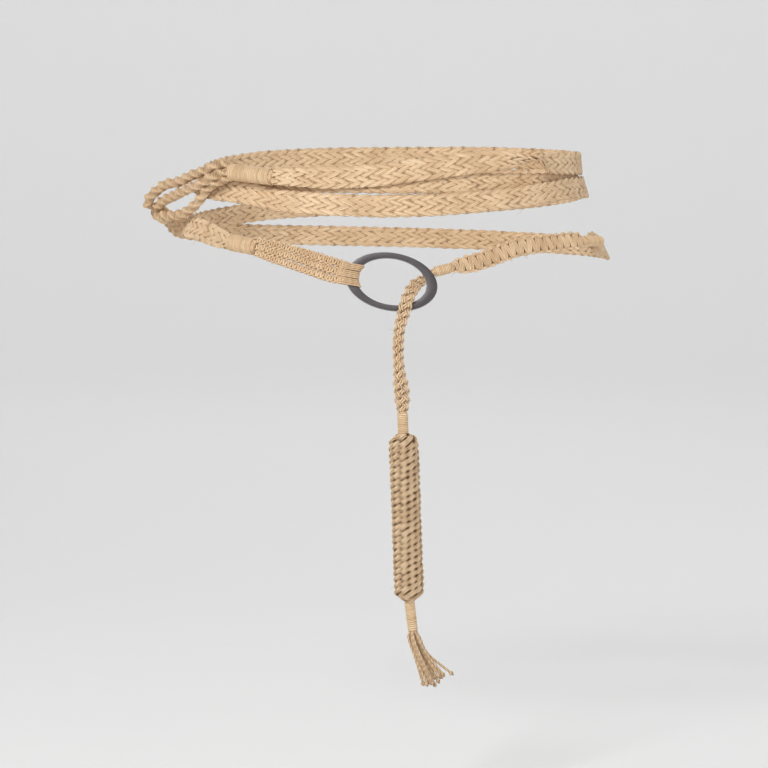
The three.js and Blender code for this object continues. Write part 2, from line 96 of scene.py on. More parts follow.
def hollowPoint(angle, rise, lift):
    turn = np.radians(angle)
    height = np.asarray(rise) * hollow["riseUnit"]
    drop = np.maximum(0, hollow["top"] - height)
    spread = drop ** 2 / (drop + hollow["spreadEase"])
    off = hollow["seat"] + lift * hollow["layer"]
    x = -(hollow["halfWidth"] + hollow["spreadWidth"] * spread + off) * np.sin(turn)
    y = -(hollow["halfDepth"] + hollow["spreadDepth"] * spread + off) * np.cos(turn)
    return np.stack([x, y, height + 0 * turn], axis=-1)


def unit(vectors):
    return vectors / np.linalg.norm(vectors, axis=-1, keepdims=True)


def hollowNormal(angle, rise, lift):
    along = hollowPoint(angle + 1, rise, lift) - hollowPoint(angle - 1, rise, lift)
    up = hollowPoint(angle, rise + 0.05, lift) - hollowPoint(angle, rise - 0.05, lift)
    return unit(np.cross(up, along))


def smoothTable(rows):  # reads a table of rows at any place of its first column, without overshoot
    rows = np.array(sorted(rows), float)
    place = rows[:, 0]
    steps = np.diff(rows[:, 1:], axis=0) / np.diff(place)[:, None]
    slopes = np.vstack([steps[:1], np.zeros_like(steps[1:]), steps[-1:]])
    before, after = steps[:-1], steps[1:]
    same = before * after > 0
    slopes[1:-1][same] = 2 * before[same] * after[same] / (before[same] + after[same])

    def read(places):
        i = np.clip(np.searchsorted(place, places) - 1, 0, len(place) - 2)
        width = (place[i + 1] - place[i])[:, None]
        t = (places - place[i])[:, None] / width
        low, high = rows[i, 1:], rows[i + 1, 1:]
        return (low * (1 + 2 * t) * (1 - t) ** 2 + high * t * t * (3 - 2 * t)
                + slopes[i] * width * t * (1 - t) ** 2 - slopes[i + 1] * width * t * t * (1 - t))

    return read


def makeRoute(points, normals, widths, turned=None):
    along = unit(np.gradient(points, axis=0))
    out = unit(normals - along * np.sum(normals * along, axis=1, keepdims=True))
    if turned is not None:
        half = np.pi * turned[:, None]
        out = out * np.cos(half) + np.cross(along, out) * np.sin(half)
    lengths = np.r_[0, np.cumsum(np.linalg.norm(np.diff(points, axis=0), axis=1))]
    columns = np.hstack([points, along, out, np.cross(out, along), widths[:, None]])
    return {"lengths": lengths, "columns": columns, "total": lengths[-1]}


def onRoute(route, s):
    values = np.stack([np.interp(s, route["lengths"], column) for column in route["columns"].T], axis=1)
    return {
        "point": values[:, 0:3], "along": unit(values[:, 3:6]), "out": unit(values[:, 6:9]),
        "across": unit(values[:, 9:12]), "width": values[:, 12],
    }


def offsetLine(route, s, across, out):
    at = onRoute(route, s)
    return at, at["point"] + at["across"] * across[:, None] + at["out"] * out[:, None]


def turnRoute(rows, degreesPerStep=0.5):
    first, last = rows[0][0], rows[-1][0]
    angles = np.linspace(first, last, int(abs(last - first) / degreesPerStep) + 2)
    values = smoothTable(rows)(angles)
    points = hollowPoint(angles, values[:, 0], values[:, 1])
    normals = hollowNormal(angles, values[:, 0], values[:, 1])
    turned = values[:, 3] if values.shape[1] > 3 else None
    route = makeRoute(points, normals, values[:, 2], turned)
    route["angles"] = angles
    return route


def straightRoute(start, end, facing=(0, -1, 0), count=40, longer=0.0):
    more = longer * unit(np.array(end) - np.array(start))
    shares = np.linspace(0, 1, count)[:, None]
    points = (np.array(start) - more) * (1 - shares) + (np.array(end) + more) * shares
    return makeRoute(points, np.tile(facing, (count, 1)).astype(float), np.ones(count))


def longerRoute(route, more):  # runs on straight at both ends, into the whippings
    first, last = route["columns"][0].copy(), route["columns"][-1].copy()
    first[:3] -= first[3:6] * more * mm
    last[:3] += last[3:6] * more * mm
    angles = route["angles"]
    step = np.sign(angles[-1] - angles[0])
    return {
        "lengths": np.r_[0, route["lengths"] + more * mm, route["total"] + 2 * more * mm],
        "columns": np.vstack([first, route["columns"], last]), "total": route["total"] + 2 * more * mm,
        "angles": np.r_[angles[0] - step, angles, angles[-1] + step],
    }


def roundedCurve(controls, count):  # centripetal spline through the controls, at even lengths
    controls = np.array(controls, float)
    ends = [2 * controls[:1] - controls[1:2], controls, 2 * controls[-1:] - controls[-2:-1]]
    p = np.vstack(ends)
    gap = np.sqrt(np.linalg.norm(np.diff(p, axis=0), axis=1))[:, None]
    t = np.linspace(0, 1, 33)[:, None]
    pieces = []
    for i in range(1, len(p) - 2):
        before, here, after = gap[i - 1], gap[i], gap[i + 1]
        leave = ((p[i] - p[i - 1]) / before - (p[i + 1] - p[i - 1]) / (before + here)
                 + (p[i + 1] - p[i]) / here) * here
        arrive = ((p[i + 1] - p[i]) / here - (p[i + 2] - p[i]) / (here + after)
                  + (p[i + 2] - p[i + 1]) / after) * here
        pieces.append(p[i] * (1 + 2 * t) * (1 - t) ** 2 + p[i + 1] * t * t * (3 - 2 * t)
                      + leave * t * (1 - t) ** 2 - arrive * t * t * (1 - t))
    dense = np.vstack(pieces)
    lengths = np.r_[0, np.cumsum(np.linalg.norm(np.diff(dense, axis=0), axis=1))]
    even = np.linspace(0, lengths[-1], count)
    return np.stack([np.interp(even, lengths, column) for column in dense.T], axis=1)


# Ring frame: its middle, and its directions across, up and out of its face
ring = {
    "length": 62, "height": 39, "endBand": 7.4, "sideBand": 3.9, "thick": 2.6, "bevel": 0.3,
    "lean": 12, "roll": 10.4, "place": (359.7, -3.96, 1.7), "turns": 160,
}
ringMiddle = hollowPoint(*ring["place"])
lean, roll = math.radians(ring["lean"]), math.radians(ring["roll"])
ringOut = np.array([0, -math.cos(lean), math.sin(lean)])
ringUpright = np.array([0, math.sin(lean), math.cos(lean)])
ringSideways = np.array([1.0, 0, 0])
ringAcross = ringSideways * math.cos(roll) - np.cross(ringOut, ringSideways) * math.sin(roll)
ringUp = ringUpright * math.cos(roll) - np.cross(ringOut, ringUpright) * math.sin(roll)


def onRing(across, up, out):
    across, up, out = (np.asarray(value, float)[..., None] * mm for value in (across, up, out))
    return ringMiddle + ringAcross * across + ringUp * up + ringOut * out


# Node trees. A small wiring helper first: values are set, sockets are linked
def wire(tree, kind, values, outlet=0, **settings):
    node = tree.nodes.new(kind)
    for name, value in settings.items():
        setattr(node, name, value)
    for socket, value in values.items():
        inlet = node.inputs[socket]
        if isinstance(value, bpy.types.NodeSocket):
            tree.links.new(value, inlet)
        else:
            inlet.default_value = value
    return node.outputs[outlet]


def calc(tree, operation, *values):
    return wire(tree, "ShaderNodeMath", dict(enumerate(values)), operation=operation)


def times(tree, first, second):
    return calc(tree, "MULTIPLY", first, second)


def plus(tree, first, second):
    return calc(tree, "ADD", first, second)


def newTree(name, sockets):
    tree = bpy.data.node_groups.new(name, "GeometryNodeTree")
    for label, kind in sockets.items():
        tree.interface.new_socket(label, in_out="INPUT", socket_type="NodeSocket" + kind)
    tree.interface.new_socket("Geometry", in_out="OUTPUT", socket_type="NodeSocketGeometry")
    return tree, tree.nodes.new("NodeGroupInput").outputs


def finishTree(tree, geometry, material):
    real = wire(tree, "GeometryNodeRealizeInstances", {"Geometry": geometry})
    coated = wire(tree, "GeometryNodeSetMaterial", {"Geometry": real, "Material": material})
    tree.links.new(coated, tree.nodes.new("NodeGroupOutput").inputs[0])
    return tree


def namedValue(tree, name, kind="FLOAT"):
    return wire(tree, "GeometryNodeInputNamedAttribute", {"Name": name}, data_type=kind)


def storeValue(tree, geometry, name, value, kind="FLOAT"):
    sockets = {"Geometry": geometry, "Name": name, "Value": value}
    return wire(tree, "GeometryNodeStoreNamedAttribute", sockets, data_type=kind, domain="POINT")


# Sweeps a thread, cord or ribbon along lines whose points carry sectionNormal and sectionSize.
# Each point of the result keeps its place in the straightened thread as fibrePlace.
def makeSweepTree():
    tree, given = newTree("sweptCord", {
        "Geometry": "Geometry", "Sides": "Int", "Half width": "Float", "Half thickness": "Float",
        "Lobes": "Float", "Lobe depth": "Float", "Ribbon": "Bool", "Twist per metre": "Float",
        "Crease shade": "Float", "Material": "Material",
    })
    index = tree.nodes.new("GeometryNodeInputIndex").outputs[0]
    share = calc(tree, "DIVIDE", index, given["Sides"])
    turn = times(tree, share, 2 * math.pi)
    keep = calc(tree, "SUBTRACT", 1, given["Lobe depth"])

    def lobed(angle):
        wave = calc(tree, "ABSOLUTE", calc(tree, "COSINE", angle))
        return plus(tree, keep, times(tree, wave, given["Lobe depth"]))

    # Round section with lobes for its plies
    radius = lobed(times(tree, times(tree, turn, 0.5), given["Lobes"]))
    roundAcross = times(tree, radius, calc(tree, "COSINE", turn))
    roundOut = times(tree, radius, calc(tree, "SINE", turn))
    # Ribbon section: points evenly across, ridged by its threads, closed at both edges
    swing = calc(tree, "ABSOLUTE", calc(tree, "SUBTRACT", times(tree, share, 4), 2))
    flatAcross = calc(tree, "SUBTRACT", swing, 1)
    side = calc(tree, "SIGN", calc(tree, "SUBTRACT", 0.5, share))
    edge = calc(tree, "SUBTRACT", 1, calc(tree, "POWER", calc(tree, "ABSOLUTE", flatAcross), 4))
    ridges = lobed(times(tree, times(tree, flatAcross, math.pi / 2), given["Lobes"]))
    flatOut = times(tree, times(tree, side, calc(tree, "SQRT", edge)), ridges)

    def chosen(plain, ribbon):
        values = {"Switch": given["Ribbon"], "False": plain, "True": ribbon}
        return wire(tree, "GeometryNodeSwitch", values, input_type="FLOAT")

    across = times(tree, chosen(roundAcross, flatAcross), given["Half width"])
    out = times(tree, chosen(roundOut, flatOut), given["Half thickness"])
    inward = times(tree, out, -1)
    place = wire(tree, "ShaderNodeCombineXYZ", {"X": inward, "Y": across})
    circle = wire(tree, "GeometryNodeCurvePrimitiveCircle", {"Resolution": given["Sides"], "Radius": 1.0})
    shaped = wire(tree, "GeometryNodeSetPosition", {"Geometry": circle, "Position": place})
    position = tree.nodes.new("GeometryNodeInputPosition").outputs[0]
    profile = storeValue(tree, shaped, "sectionPlace", position, "FLOAT_VECTOR")

    lines = wire(tree, "GeometryNodeMeshToCurve", {"Mesh": given["Geometry"]})
    normal = namedValue(tree, "sectionNormal", "FLOAT_VECTOR")
    faced = wire(tree, "GeometryNodeSetCurveNormal", {"Curve": lines, "Normal": normal}, mode="FREE")
    length = tree.nodes.new("GeometryNodeSplineParameter").outputs["Length"]
    tilt = times(tree, length, given["Twist per metre"])
    twisted = wire(tree, "GeometryNodeSetCurveTilt", {"Curve": faced, "Tilt": tilt})
    marked = storeValue(tree, twisted, "alongPlace", length)
    swept = wire(tree, "GeometryNodeCurveToMesh", {
        "Curve": marked, "Profile Curve": profile, "Scale": namedValue(tree, "sectionSize"),
        "Fill Caps": True,
    })
    sectionPlace = namedValue(tree, "sectionPlace", "FLOAT_VECTOR")
    section = wire(tree, "ShaderNodeSeparateXYZ", {"Vector": sectionPlace})
    fibre = wire(tree, "ShaderNodeCombineXYZ", {
        "X": section, "Y": section.node.outputs[1], "Z": namedValue(tree, "alongPlace"),
    })
    placed = storeValue(tree, swept, "fibrePlace", fibre, "FLOAT_VECTOR")
    # Painted shade: the sides of a thread, towards its neighbours, count as deeper and are darkened
    proud = calc(tree, "ABSOLUTE", calc(tree, "DIVIDE", section, given["Half thickness"]))
    sunk = wire(tree, "ShaderNodeMapRange", {"Value": proud, "From Min": 0.95, "From Max": 0.5})
    paintedShade = plus(tree, namedValue(tree, "paintedShade"), times(tree, sunk, given["Crease shade"]))
    shaded = storeValue(tree, placed, "paintedShade", calc(tree, "MINIMUM", paintedShade, 1))
    smooth = wire(tree, "GeometryNodeSetShadeSmooth", {"Geometry": shaded})
    return finishTree(tree, smooth, given["Material"])


def chanceFrom(tree, given):  # random numbers between two values, by the tree's seed and a salt
    def chance(low, high, salt):
        seed = plus(tree, given["Seed"], salt)
        return wire(tree, "FunctionNodeRandomValue", {2: low, 3: high, "Seed": seed}, 1, data_type="FLOAT")

    return chance


# Rows of slanted knots round a bar that hangs down from the origin. The shape of a knot, in thread
# radii apart from the shares of its reach: how far apart its three threads lie, how deep their ends
# sink, how far the outer two and the middle one bulge, and the tone that it may take
knotShape = {
    "apart": 2.05, "sink": 1.7, "bulge": 5.6, "middleBulge": 7.8, "half": 0.5, "middleHalf": 0.56,
    "handle": 0.8, "wind": -0.0019, "stagger": 0.9, "rounding": 2.6, "endLean": 1.1, "deepShade": 0.5,
    "palest": 2.2, "darkest": -0.2,
}


def makeKnotTree():
    tree, given = newTree("knotRows", {
        "Geometry": "Geometry", "Rows": "Int", "Columns": "Int", "Row pitch": "Float", "Radius": "Float",
        "Thread radius": "Float", "Knot reach": "Float", "Slant": "Float", "Shoulder": "Float",
        "Crease shade": "Float", "End room": "Float", "Seed": "Int", "Material": "Material",
    })
    chance = chanceFrom(tree, given)
    count = times(tree, given["Rows"], given["Columns"])
    index = tree.nodes.new("GeometryNodeInputIndex").outputs[0]
    row = calc(tree, "FLOOR", calc(tree, "DIVIDE", index, given["Columns"]))
    column = calc(tree, "MODULO", index, given["Columns"])

    # A column winds slowly round the bar, and neighbours are half a row apart
    around = plus(tree, calc(tree, "DIVIDE", column, given["Columns"]),
                  times(tree, row, knotShape["wind"]))
    angle = plus(tree, times(tree, around, 2 * math.pi), chance(-0.05, 0.05, 1))
    stagger = times(tree, calc(tree, "MODULO", times(tree, column, 0.5), 1), knotShape["stagger"])
    down = times(tree, plus(tree, plus(tree, row, stagger), chance(0.32, 0.5, 2)),
                given["Row pitch"])
    whole = times(tree, plus(tree, given["Rows"], given["End room"]), given["Row pitch"])
    fromEnd = calc(tree, "MINIMUM", down, calc(tree, "SUBTRACT", whole, down))
    shoulder = calc(tree, "MINIMUM", calc(tree, "DIVIDE", fromEnd, given["Shoulder"]), 1)
    short = calc(tree, "POWER", calc(tree, "SUBTRACT", 1, shoulder), knotShape["rounding"])
    bend = calc(tree, "SUBTRACT", 1, short)
    radius = times(tree, given["Radius"], times(tree, bend, chance(0.975, 1.02, 3)))
    position = wire(tree, "ShaderNodeCombineXYZ", {
        "X": times(tree, radius, calc(tree, "SINE", angle)),
        "Y": times(tree, times(tree, radius, calc(tree, "COSINE", angle)), -1),
        "Z": times(tree, down, -1),
    })
    points = wire(tree, "GeometryNodeMeshLine", {"Count": count})
    spread = wire(tree, "GeometryNodeSetPosition", {"Geometry": points, "Position": position})

    # One knot: three threads side by side, bulging out of the bar, their ends sunk in it
    join = tree.nodes.new("GeometryNodeJoinGeometry")
    circle = {"Resolution": 7, "Radius": given["Thread radius"]}
    ringProfile = wire(tree, "GeometryNodeCurvePrimitiveCircle", circle)
    profilePlace = tree.nodes.new("GeometryNodeInputPosition").outputs[0]
    markedRing = storeValue(tree, ringProfile, "sectionPlace", profilePlace, "FLOAT_VECTOR")
    for place in (-1, 0, 1):
        sideways = times(tree, given["Thread radius"], knotShape["apart"] * place)
        sink = times(tree, given["Thread radius"], -knotShape["sink"])
        bulge = times(tree, given["Thread radius"], -knotShape["bulge" if place else "middleBulge"])
        half = times(tree, given["Knot reach"], knotShape["half" if place else "middleHalf"])
        ends = [wire(tree, "ShaderNodeCombineXYZ", {
            "X": times(tree, half, end), "Y": times(tree, sink, -1), "Z": sideways,
        }) for end in (-1, 1)]
        handles = [wire(tree, "ShaderNodeCombineXYZ", {
            "X": times(tree, half, knotShape["handle"] * end), "Y": times(tree, bulge, 0.5), "Z": sideways,
        }) for end in (-1, 1)]
        curve = wire(tree, "GeometryNodeCurvePrimitiveBezierSegment", {
            "Resolution": 7, "Start": ends[0], "Start Handle": handles[0], "End Handle": handles[1],
            "End": ends[1],
        })
        length = tree.nodes.new("GeometryNodeSplineParameter").outputs["Length"]
        marked = storeValue(tree, curve, "alongPlace", length)
        upward = {"Curve": marked, "Normal": (0.0, 1.0, 0.0)}
        faced = wire(tree, "GeometryNodeSetCurveNormal", upward, mode="FREE")
        swept = wire(tree, "GeometryNodeCurveToMesh", {
            "Curve": faced, "Profile Curve": markedRing, "Fill Caps": True,
        })
        here = wire(tree, "ShaderNodeSeparateXYZ", {
            "Vector": tree.nodes.new("GeometryNodeInputPosition").outputs[0]})
        fibre = wire(tree, "ShaderNodeCombineXYZ", {
            "X": here.node.outputs[1], "Y": here.node.outputs[2], "Z": namedValue(tree, "alongPlace"),
        })
        marked = storeValue(tree, swept, "fibrePlace", fibre, "FLOAT_VECTOR")
        # Painted shade: darker where a thread lies low in the bar and on its sides towards its neighbours
        height = calc(tree, "DIVIDE", times(tree, here.node.outputs[1], -1), given["Thread radius"])
        deep = wire(tree, "ShaderNodeMapRange", {"Value": height, "From Min": 1.9, "From Max": 0.4})
        sectionPlace = namedValue(tree, "sectionPlace", "FLOAT_VECTOR")
        section = wire(tree, "ShaderNodeSeparateXYZ", {"Vector": sectionPlace})
        sides = wire(tree, "ShaderNodeMapRange", {
            "Value": calc(tree, "ABSOLUTE", calc(tree, "DIVIDE", section, given["Thread radius"])),
            "From Min": 0.92, "From Max": 0.45, "To Max": given["Crease shade"],
        })
        shade = calc(tree, "MINIMUM", plus(tree, times(tree, deep, knotShape["deepShade"]), sides), 1)
        tree.links.new(storeValue(tree, marked, "paintedShade", shade), join.inputs[0])
    knot = wire(tree, "GeometryNodeSetShadeSmooth", {"Geometry": join.outputs[0]})
    slanted = wire(tree, "ShaderNodeCombineXYZ", {"Y": times(tree, given["Slant"], -1)})
    leaned = wire(tree, "GeometryNodeTransform", {"Geometry": knot, "Rotation": slanted})

    def endTilt(distance):
        share = calc(tree, "DIVIDE", distance, given["Shoulder"])
        near = calc(tree, "MAXIMUM", calc(tree, "SUBTRACT", 1, share), 0)
        return calc(tree, "POWER", near, 1.4)

    tilt = calc(tree, "SUBTRACT", endTilt(calc(tree, "SUBTRACT", whole, down)), endTilt(down))
    lean = plus(tree, times(tree, tilt, knotShape["endLean"]), chance(-0.06, 0.06, 4))
    facing = wire(tree, "ShaderNodeCombineXYZ", {"X": lean, "Y": chance(-0.09, 0.09, 5), "Z": angle})
    size = chance(0.94, 1.06, 6)
    placed = wire(tree, "GeometryNodeInstanceOnPoints", {
        "Points": spread, "Instance": leaned, "Rotation": facing,
        "Scale": wire(tree, "ShaderNodeCombineXYZ", {"X": size, "Y": size, "Z": size}),
    })
    toned = wire(tree, "GeometryNodeStoreNamedAttribute", {
        "Geometry": placed, "Name": "tone", "Value": chance(knotShape["darkest"], knotShape["palest"], 7),
    }, data_type="FLOAT", domain="INSTANCE")
    return finishTree(tree, toned, given["Material"])


# Stray fibres that stand off a surface: short bent hairs at random places
def makeFibreTree():
    tree, given = newTree("strayFibres", {
        "Geometry": "Geometry", "Density": "Float", "Length": "Float", "Thickness": "Float", "Seed": "Int",
        "Material": "Material",
    })

    chance = chanceFrom(tree, given)
    scatter = tree.nodes.new("GeometryNodeDistributePointsOnFaces")
    for label, value in (("Mesh", "Geometry"), ("Density", "Density"), ("Seed", "Seed")):
        tree.links.new(given[value], scatter.inputs[label])
    reach = given["Length"]
    middle, end = (wire(tree, "ShaderNodeCombineXYZ", {
        "X": times(tree, reach, aside), "Z": times(tree, reach, up),
    }) for aside, up in ((0.1, 0.55), (0.62, 0.7)))
    curve = wire(tree, "GeometryNodeCurveQuadraticBezier", {
        "Resolution": 4, "Start": (0.0, 0.0, 0.0), "Middle": middle, "End": end,
    })
    profile = wire(tree, "GeometryNodeCurvePrimitiveCircle", {"Resolution": 3, "Radius": given["Thickness"]})
    hair = wire(tree, "GeometryNodeCurveToMesh", {
        "Curve": curve, "Profile Curve": profile, "Fill Caps": True,
    })
    lean = wire(tree, "ShaderNodeCombineXYZ", {
        "X": chance(-0.9, 0.9, 1), "Y": chance(-0.9, 0.9, 2), "Z": chance(0.0, 6.28, 3),
    })
    turned = wire(tree, "FunctionNodeRotateRotation", {
        "Rotation": scatter.outputs["Rotation"], "Rotate By": lean,
    }, rotation_space="LOCAL")
    size = chance(0.35, 1.3, 4)
    placed = wire(tree, "GeometryNodeInstanceOnPoints", {
        "Points": scatter.outputs["Points"], "Instance": hair, "Rotation": turned,
        "Scale": wire(tree, "ShaderNodeCombineXYZ", {"X": size, "Y": size, "Z": size}),
    })
    return finishTree(tree, placed, given["Material"])


def setInput(modifier, label, value):
    for item in modifier.node_group.interface.items_tree:
        if item.item_type == "SOCKET" and item.in_out == "INPUT" and item.name == label:
            modifier[item.identifier] = value
            return
    raise ValueError(label)


def grown(name, mesh, tree, values):  # plain mesh that the tree makes from the given one
    source = bpy.data.objects.new(name + "Source", mesh)
    bpy.context.collection.objects.link(source)
    modifier = source.modifiers.new("tree", "NODES")
    modifier.node_group = tree
    for label, value in values.items():
        setInput(modifier, label, value)
    depsgraph = bpy.context.evaluated_depsgraph_get()
    result = bpy.data.meshes.new_from_object(
        source.evaluated_get(depsgraph), preserve_all_data_layers=True, depsgraph=depsgraph)
    source.modifiers.clear()
    bpy.data.objects.remove(source)
    result.name = name
    return result


def lineMesh(name, lines):
    mesh = bpy.data.meshes.new(name)
    counts = [len(line["points"]) for line in lines]
    starts = np.r_[0, np.cumsum(counts)]
    edges = np.vstack([
        np.stack([np.arange(n - 1), np.arange(1, n)], axis=1) + start for n, start in zip(counts, starts)
    ])
    mesh.vertices.add(int(starts[-1]))
    mesh.vertices.foreach_set("co", np.vstack([line["points"] for line in lines]).astype(np.float32).ravel())
    mesh.edges.add(len(edges))
    mesh.edges.foreach_set("vertices", edges.astype(np.int32).ravel())
    for label in ("sectionNormal", "sectionSize", "tone", "paintedShade"):
        isVector = label == "sectionNormal"
        values = []
        for line, n in zip(lines, counts):
            values.append(line[label] if isVector else np.broadcast_to(line[label], (n,)))
        flat = np.concatenate([np.asarray(value, np.float32).ravel() for value in values])
        attribute = mesh.attributes.new(label, "FLOAT_VECTOR" if isVector else "FLOAT", "POINT")
        attribute.data.foreach_set("vector" if isVector else "value", flat)
    mesh.update()
    return mesh


def sweepCords(name, lines, material, width, thick=None, sides=6, lobes=0.0, lobeDepth=0.0, ribbon=False,
               lay=0.0, creaseShade=0.0):
    return grown(name, lineMesh(name, lines), sweepTree, {
        "Sides": sides, "Half width": width / 2, "Half thickness": (thick or width) / 2, "Lobes": lobes,
        "Lobe depth": lobeDepth, "Ribbon": ribbon, "Twist per metre": 2 * math.pi / lay if lay else 0.0,
        "Crease shade": creaseShade, "Material": material,
    })


def addPiece(name, meshes, replaced=None):  # joins the meshes into one piece of the belt
    objects = []
    for mesh in meshes:
        for label in ("sectionNormal", "sectionSize", "sectionPlace", "alongPlace"):
            if label in mesh.attributes:
                mesh.attributes.remove(mesh.attributes[label])
        objects.append(bpy.data.objects.new(name, mesh))
        bpy.context.collection.objects.link(objects[-1])
    piece = objects[0]
    if len(objects) > 1:
        with bpy.context.temp_override(active_object=piece, selected_editable_objects=objects):
            bpy.ops.object.join()
    piece.name = name
    piece.data.name = name
    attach(piece, "root")
    if replaced:
        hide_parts(replaced)
    triangles = sum(len(face.vertices) - 2 for face in piece.data.polygons)
    print(f"{name}: {triangles} triangles")
    return piece


def wander(rng, count, reach, amount):  # smooth random values along a line
    knots = rng.normal(0, amount, max(4, int(count / reach) + 2))
    return np.interp(np.linspace(0, len(knots) - 1, count), np.arange(len(knots)), knots)


sweepTree = makeSweepTree()
knotTree = makeKnotTree()
fibreTree = makeFibreTree()
print("node trees built")


# Shader groups: fibre streaks along a thread, and the colour of raw jute with its painted shade
def newShaderGroup(name, inlets, outlets):
    group = bpy.data.node_groups.new(name, "ShaderNodeTree")
    for label, kind in inlets.items():
        group.interface.new_socket(label, in_out="INPUT", socket_type="NodeSocket" + kind)
    for label, kind in outlets.items():
        group.interface.new_socket(label, in_out="OUTPUT", socket_type="NodeSocket" + kind)
    return group, group.nodes.new("NodeGroupInput").outputs, group.nodes.new("NodeGroupOutput").inputs


def mixColours(tree, factor, first, second, kind="MIX"):
    values = {"Factor": factor, 6: first, 7: second}
    return wire(tree, "ShaderNodeMix", values, 2, data_type="RGBA", blend_type=kind)


def makeGrainGroup():
    group, given, results = newShaderGroup(
        "fibreGrain", {"Place": "Vector", "Across": "Float", "Along": "Float"},
        {"Streak": "Float", "Height": "Float"})
    stretch = wire(group, "ShaderNodeCombineXYZ", {
        "X": given["Across"], "Y": given["Across"], "Z": given["Along"],
    })
    place = wire(group, "ShaderNodeVectorMath", {0: given["Place"], 1: stretch}, operation="MULTIPLY")
    coarse = wire(group, "ShaderNodeTexNoise", {"Vector": place, "Scale": 0.3, "Detail": 1.0})
    fine = wire(group, "ShaderNodeTexNoise", {
        "Vector": place, "Scale": 1.0, "Detail": 3.0, "Roughness": 0.65,
    })
    halves = [times(group, noise, 0.5) for noise in (coarse, fine)]
    group.links.new(plus(group, *halves), results["Streak"])
    group.links.new(fine, results["Height"])
    return group


def makeJuteGroup():
    group, given, results = newShaderGroup(
        "juteColour", {
            "Streak": "Float", "Blotch": "Float", "Tone": "Float", "PaintedShade": "Float", "Light": "Color",
            "Dark": "Color", "Shadow": "Color",
        }, {"Color": "Color"})
    lift = plus(group, times(group, given["Tone"], 0.2), times(group, given["Blotch"], 0.7))
    spread = times(group, calc(group, "SUBTRACT", given["Streak"], 0.5), 3.8)
    share = wire(group, "ShaderNodeClamp", {"Value": plus(group, plus(group, spread, lift), 0.5)})
    raw = mixColours(group, share, given["Dark"], given["Light"])
    # Painted shade: the colour goes towards the shadow colour where a thread lies deep, in creases and under
    # its neighbours
    deep = times(group, calc(group, "POWER", given["PaintedShade"], 1.3), 0.85)
    group.links.new(mixColours(group, deep, raw, given["Shadow"]), results["Color"])
    return group


grainGroup = makeGrainGroup()
juteGroup = makeJuteGroup()


def useGroup(tree, group, values, outlet=0):
    node = tree.nodes.new("ShaderNodeGroup")
    node.node_tree = group
    for label, value in values.items():
        if isinstance(value, bpy.types.NodeSocket):
            tree.links.new(value, node.inputs[label])
        else:
            node.inputs[label].default_value = value
    return node.outputs[outlet]


def newMaterial(name):
    material = bpy.data.materials.new(name)
    material.use_nodes = True
    shader = material.node_tree.nodes["Principled BSDF"]
    return material, material.node_tree, shader


def attributeOf(tree, name, outlet):
    node = tree.nodes.new("ShaderNodeAttribute")
    node.attribute_name = name
    return node.outputs[outlet]


def makeJute(name, values):
    material, tree, shader = newMaterial(name)
    place = attributeOf(tree, "fibrePlace", "Vector")
    grain = useGroup(tree, grainGroup, {
        "Place": place, "Across": values["across"], "Along": values["along"],
    })
    height = grain.node.outputs["Height"]
    here = tree.nodes.new("ShaderNodeTexCoord").outputs["Object"]
    blotch = wire(tree, "ShaderNodeTexNoise", {"Vector": here, "Scale": values["blotch"], "Detail": 2.0})
    colour = useGroup(tree, juteGroup, {
        "Streak": grain, "Blotch": calc(tree, "SUBTRACT", blotch, 0.5),
        "Tone": attributeOf(tree, "tone", "Fac"), "PaintedShade": attributeOf(tree, "paintedShade", "Fac"),
        "Light": values["light"], "Dark": values["dark"], "Shadow": values["shadow"],
    })
    tree.links.new(colour, shader.inputs["Base Color"])
    rough = wire(tree, "ShaderNodeMapRange", {
        "Value": grain, "To Min": values["rough"] - 0.1, "To Max": values["rough"] + 0.1})
    tree.links.new(rough, shader.inputs["Roughness"])
    bump = wire(tree, "ShaderNodeBump", {"Height": height, "Strength": values["bump"], "Distance": 0.0003})
    tree.links.new(bump, shader.inputs["Normal"])
    shader.inputs["Specular IOR Level"].default_value = 0.3
    shader.inputs["Sheen Weight"].default_value = values["sheen"]
    shader.inputs["Sheen Roughness"].default_value = 0.5
    shader.inputs["Sheen Tint"].default_value = (1.0, 0.88, 0.68, 1)
    return material


jute = makeJute("juteYarn", {
    "light": (0.93, 0.70, 0.455, 1), "dark": (0.64, 0.42, 0.235, 1), "shadow": (0.2, 0.1, 0.04, 1),
    "across": 3800.0, "along": 160.0, "blotch": 55.0, "rough": 0.68, "bump": 0.5, "sheen": 0.15,
})
bindingThread = makeJute("bindingThread", {
    "light": (0.95, 0.73, 0.47, 1), "dark": (0.7, 0.47, 0.265, 1), "shadow": (0.24, 0.13, 0.055, 1),
    "across": 3000.0, "along": 200.0, "blotch": 90.0, "rough": 0.5, "bump": 0.4, "sheen": 0.1,
})
looseFibre = makeJute("looseFibre", {
    "light": (0.86, 0.70, 0.47, 1), "dark": (0.6, 0.44, 0.25, 1), "shadow": (0.3, 0.2, 0.1, 1),
    "across": 3000.0, "along": 200.0, "blotch": 90.0, "rough": 0.6, "bump": 0.1, "sheen": 0.1,
})


# The edge colour is a painted highlight on the bevelled edges, partly edge wear
metal = {
    "plain": (0.075, 0.069, 0.0705, 1), "pale": (0.125, 0.115, 0.118, 1), "edge": (0.34, 0.32, 0.325, 1),
    "smoothest": 0.36, "roughest": 0.48, "brushScale": (90.0, 900.0, 2600.0), "cloudScale": 90.0,
}


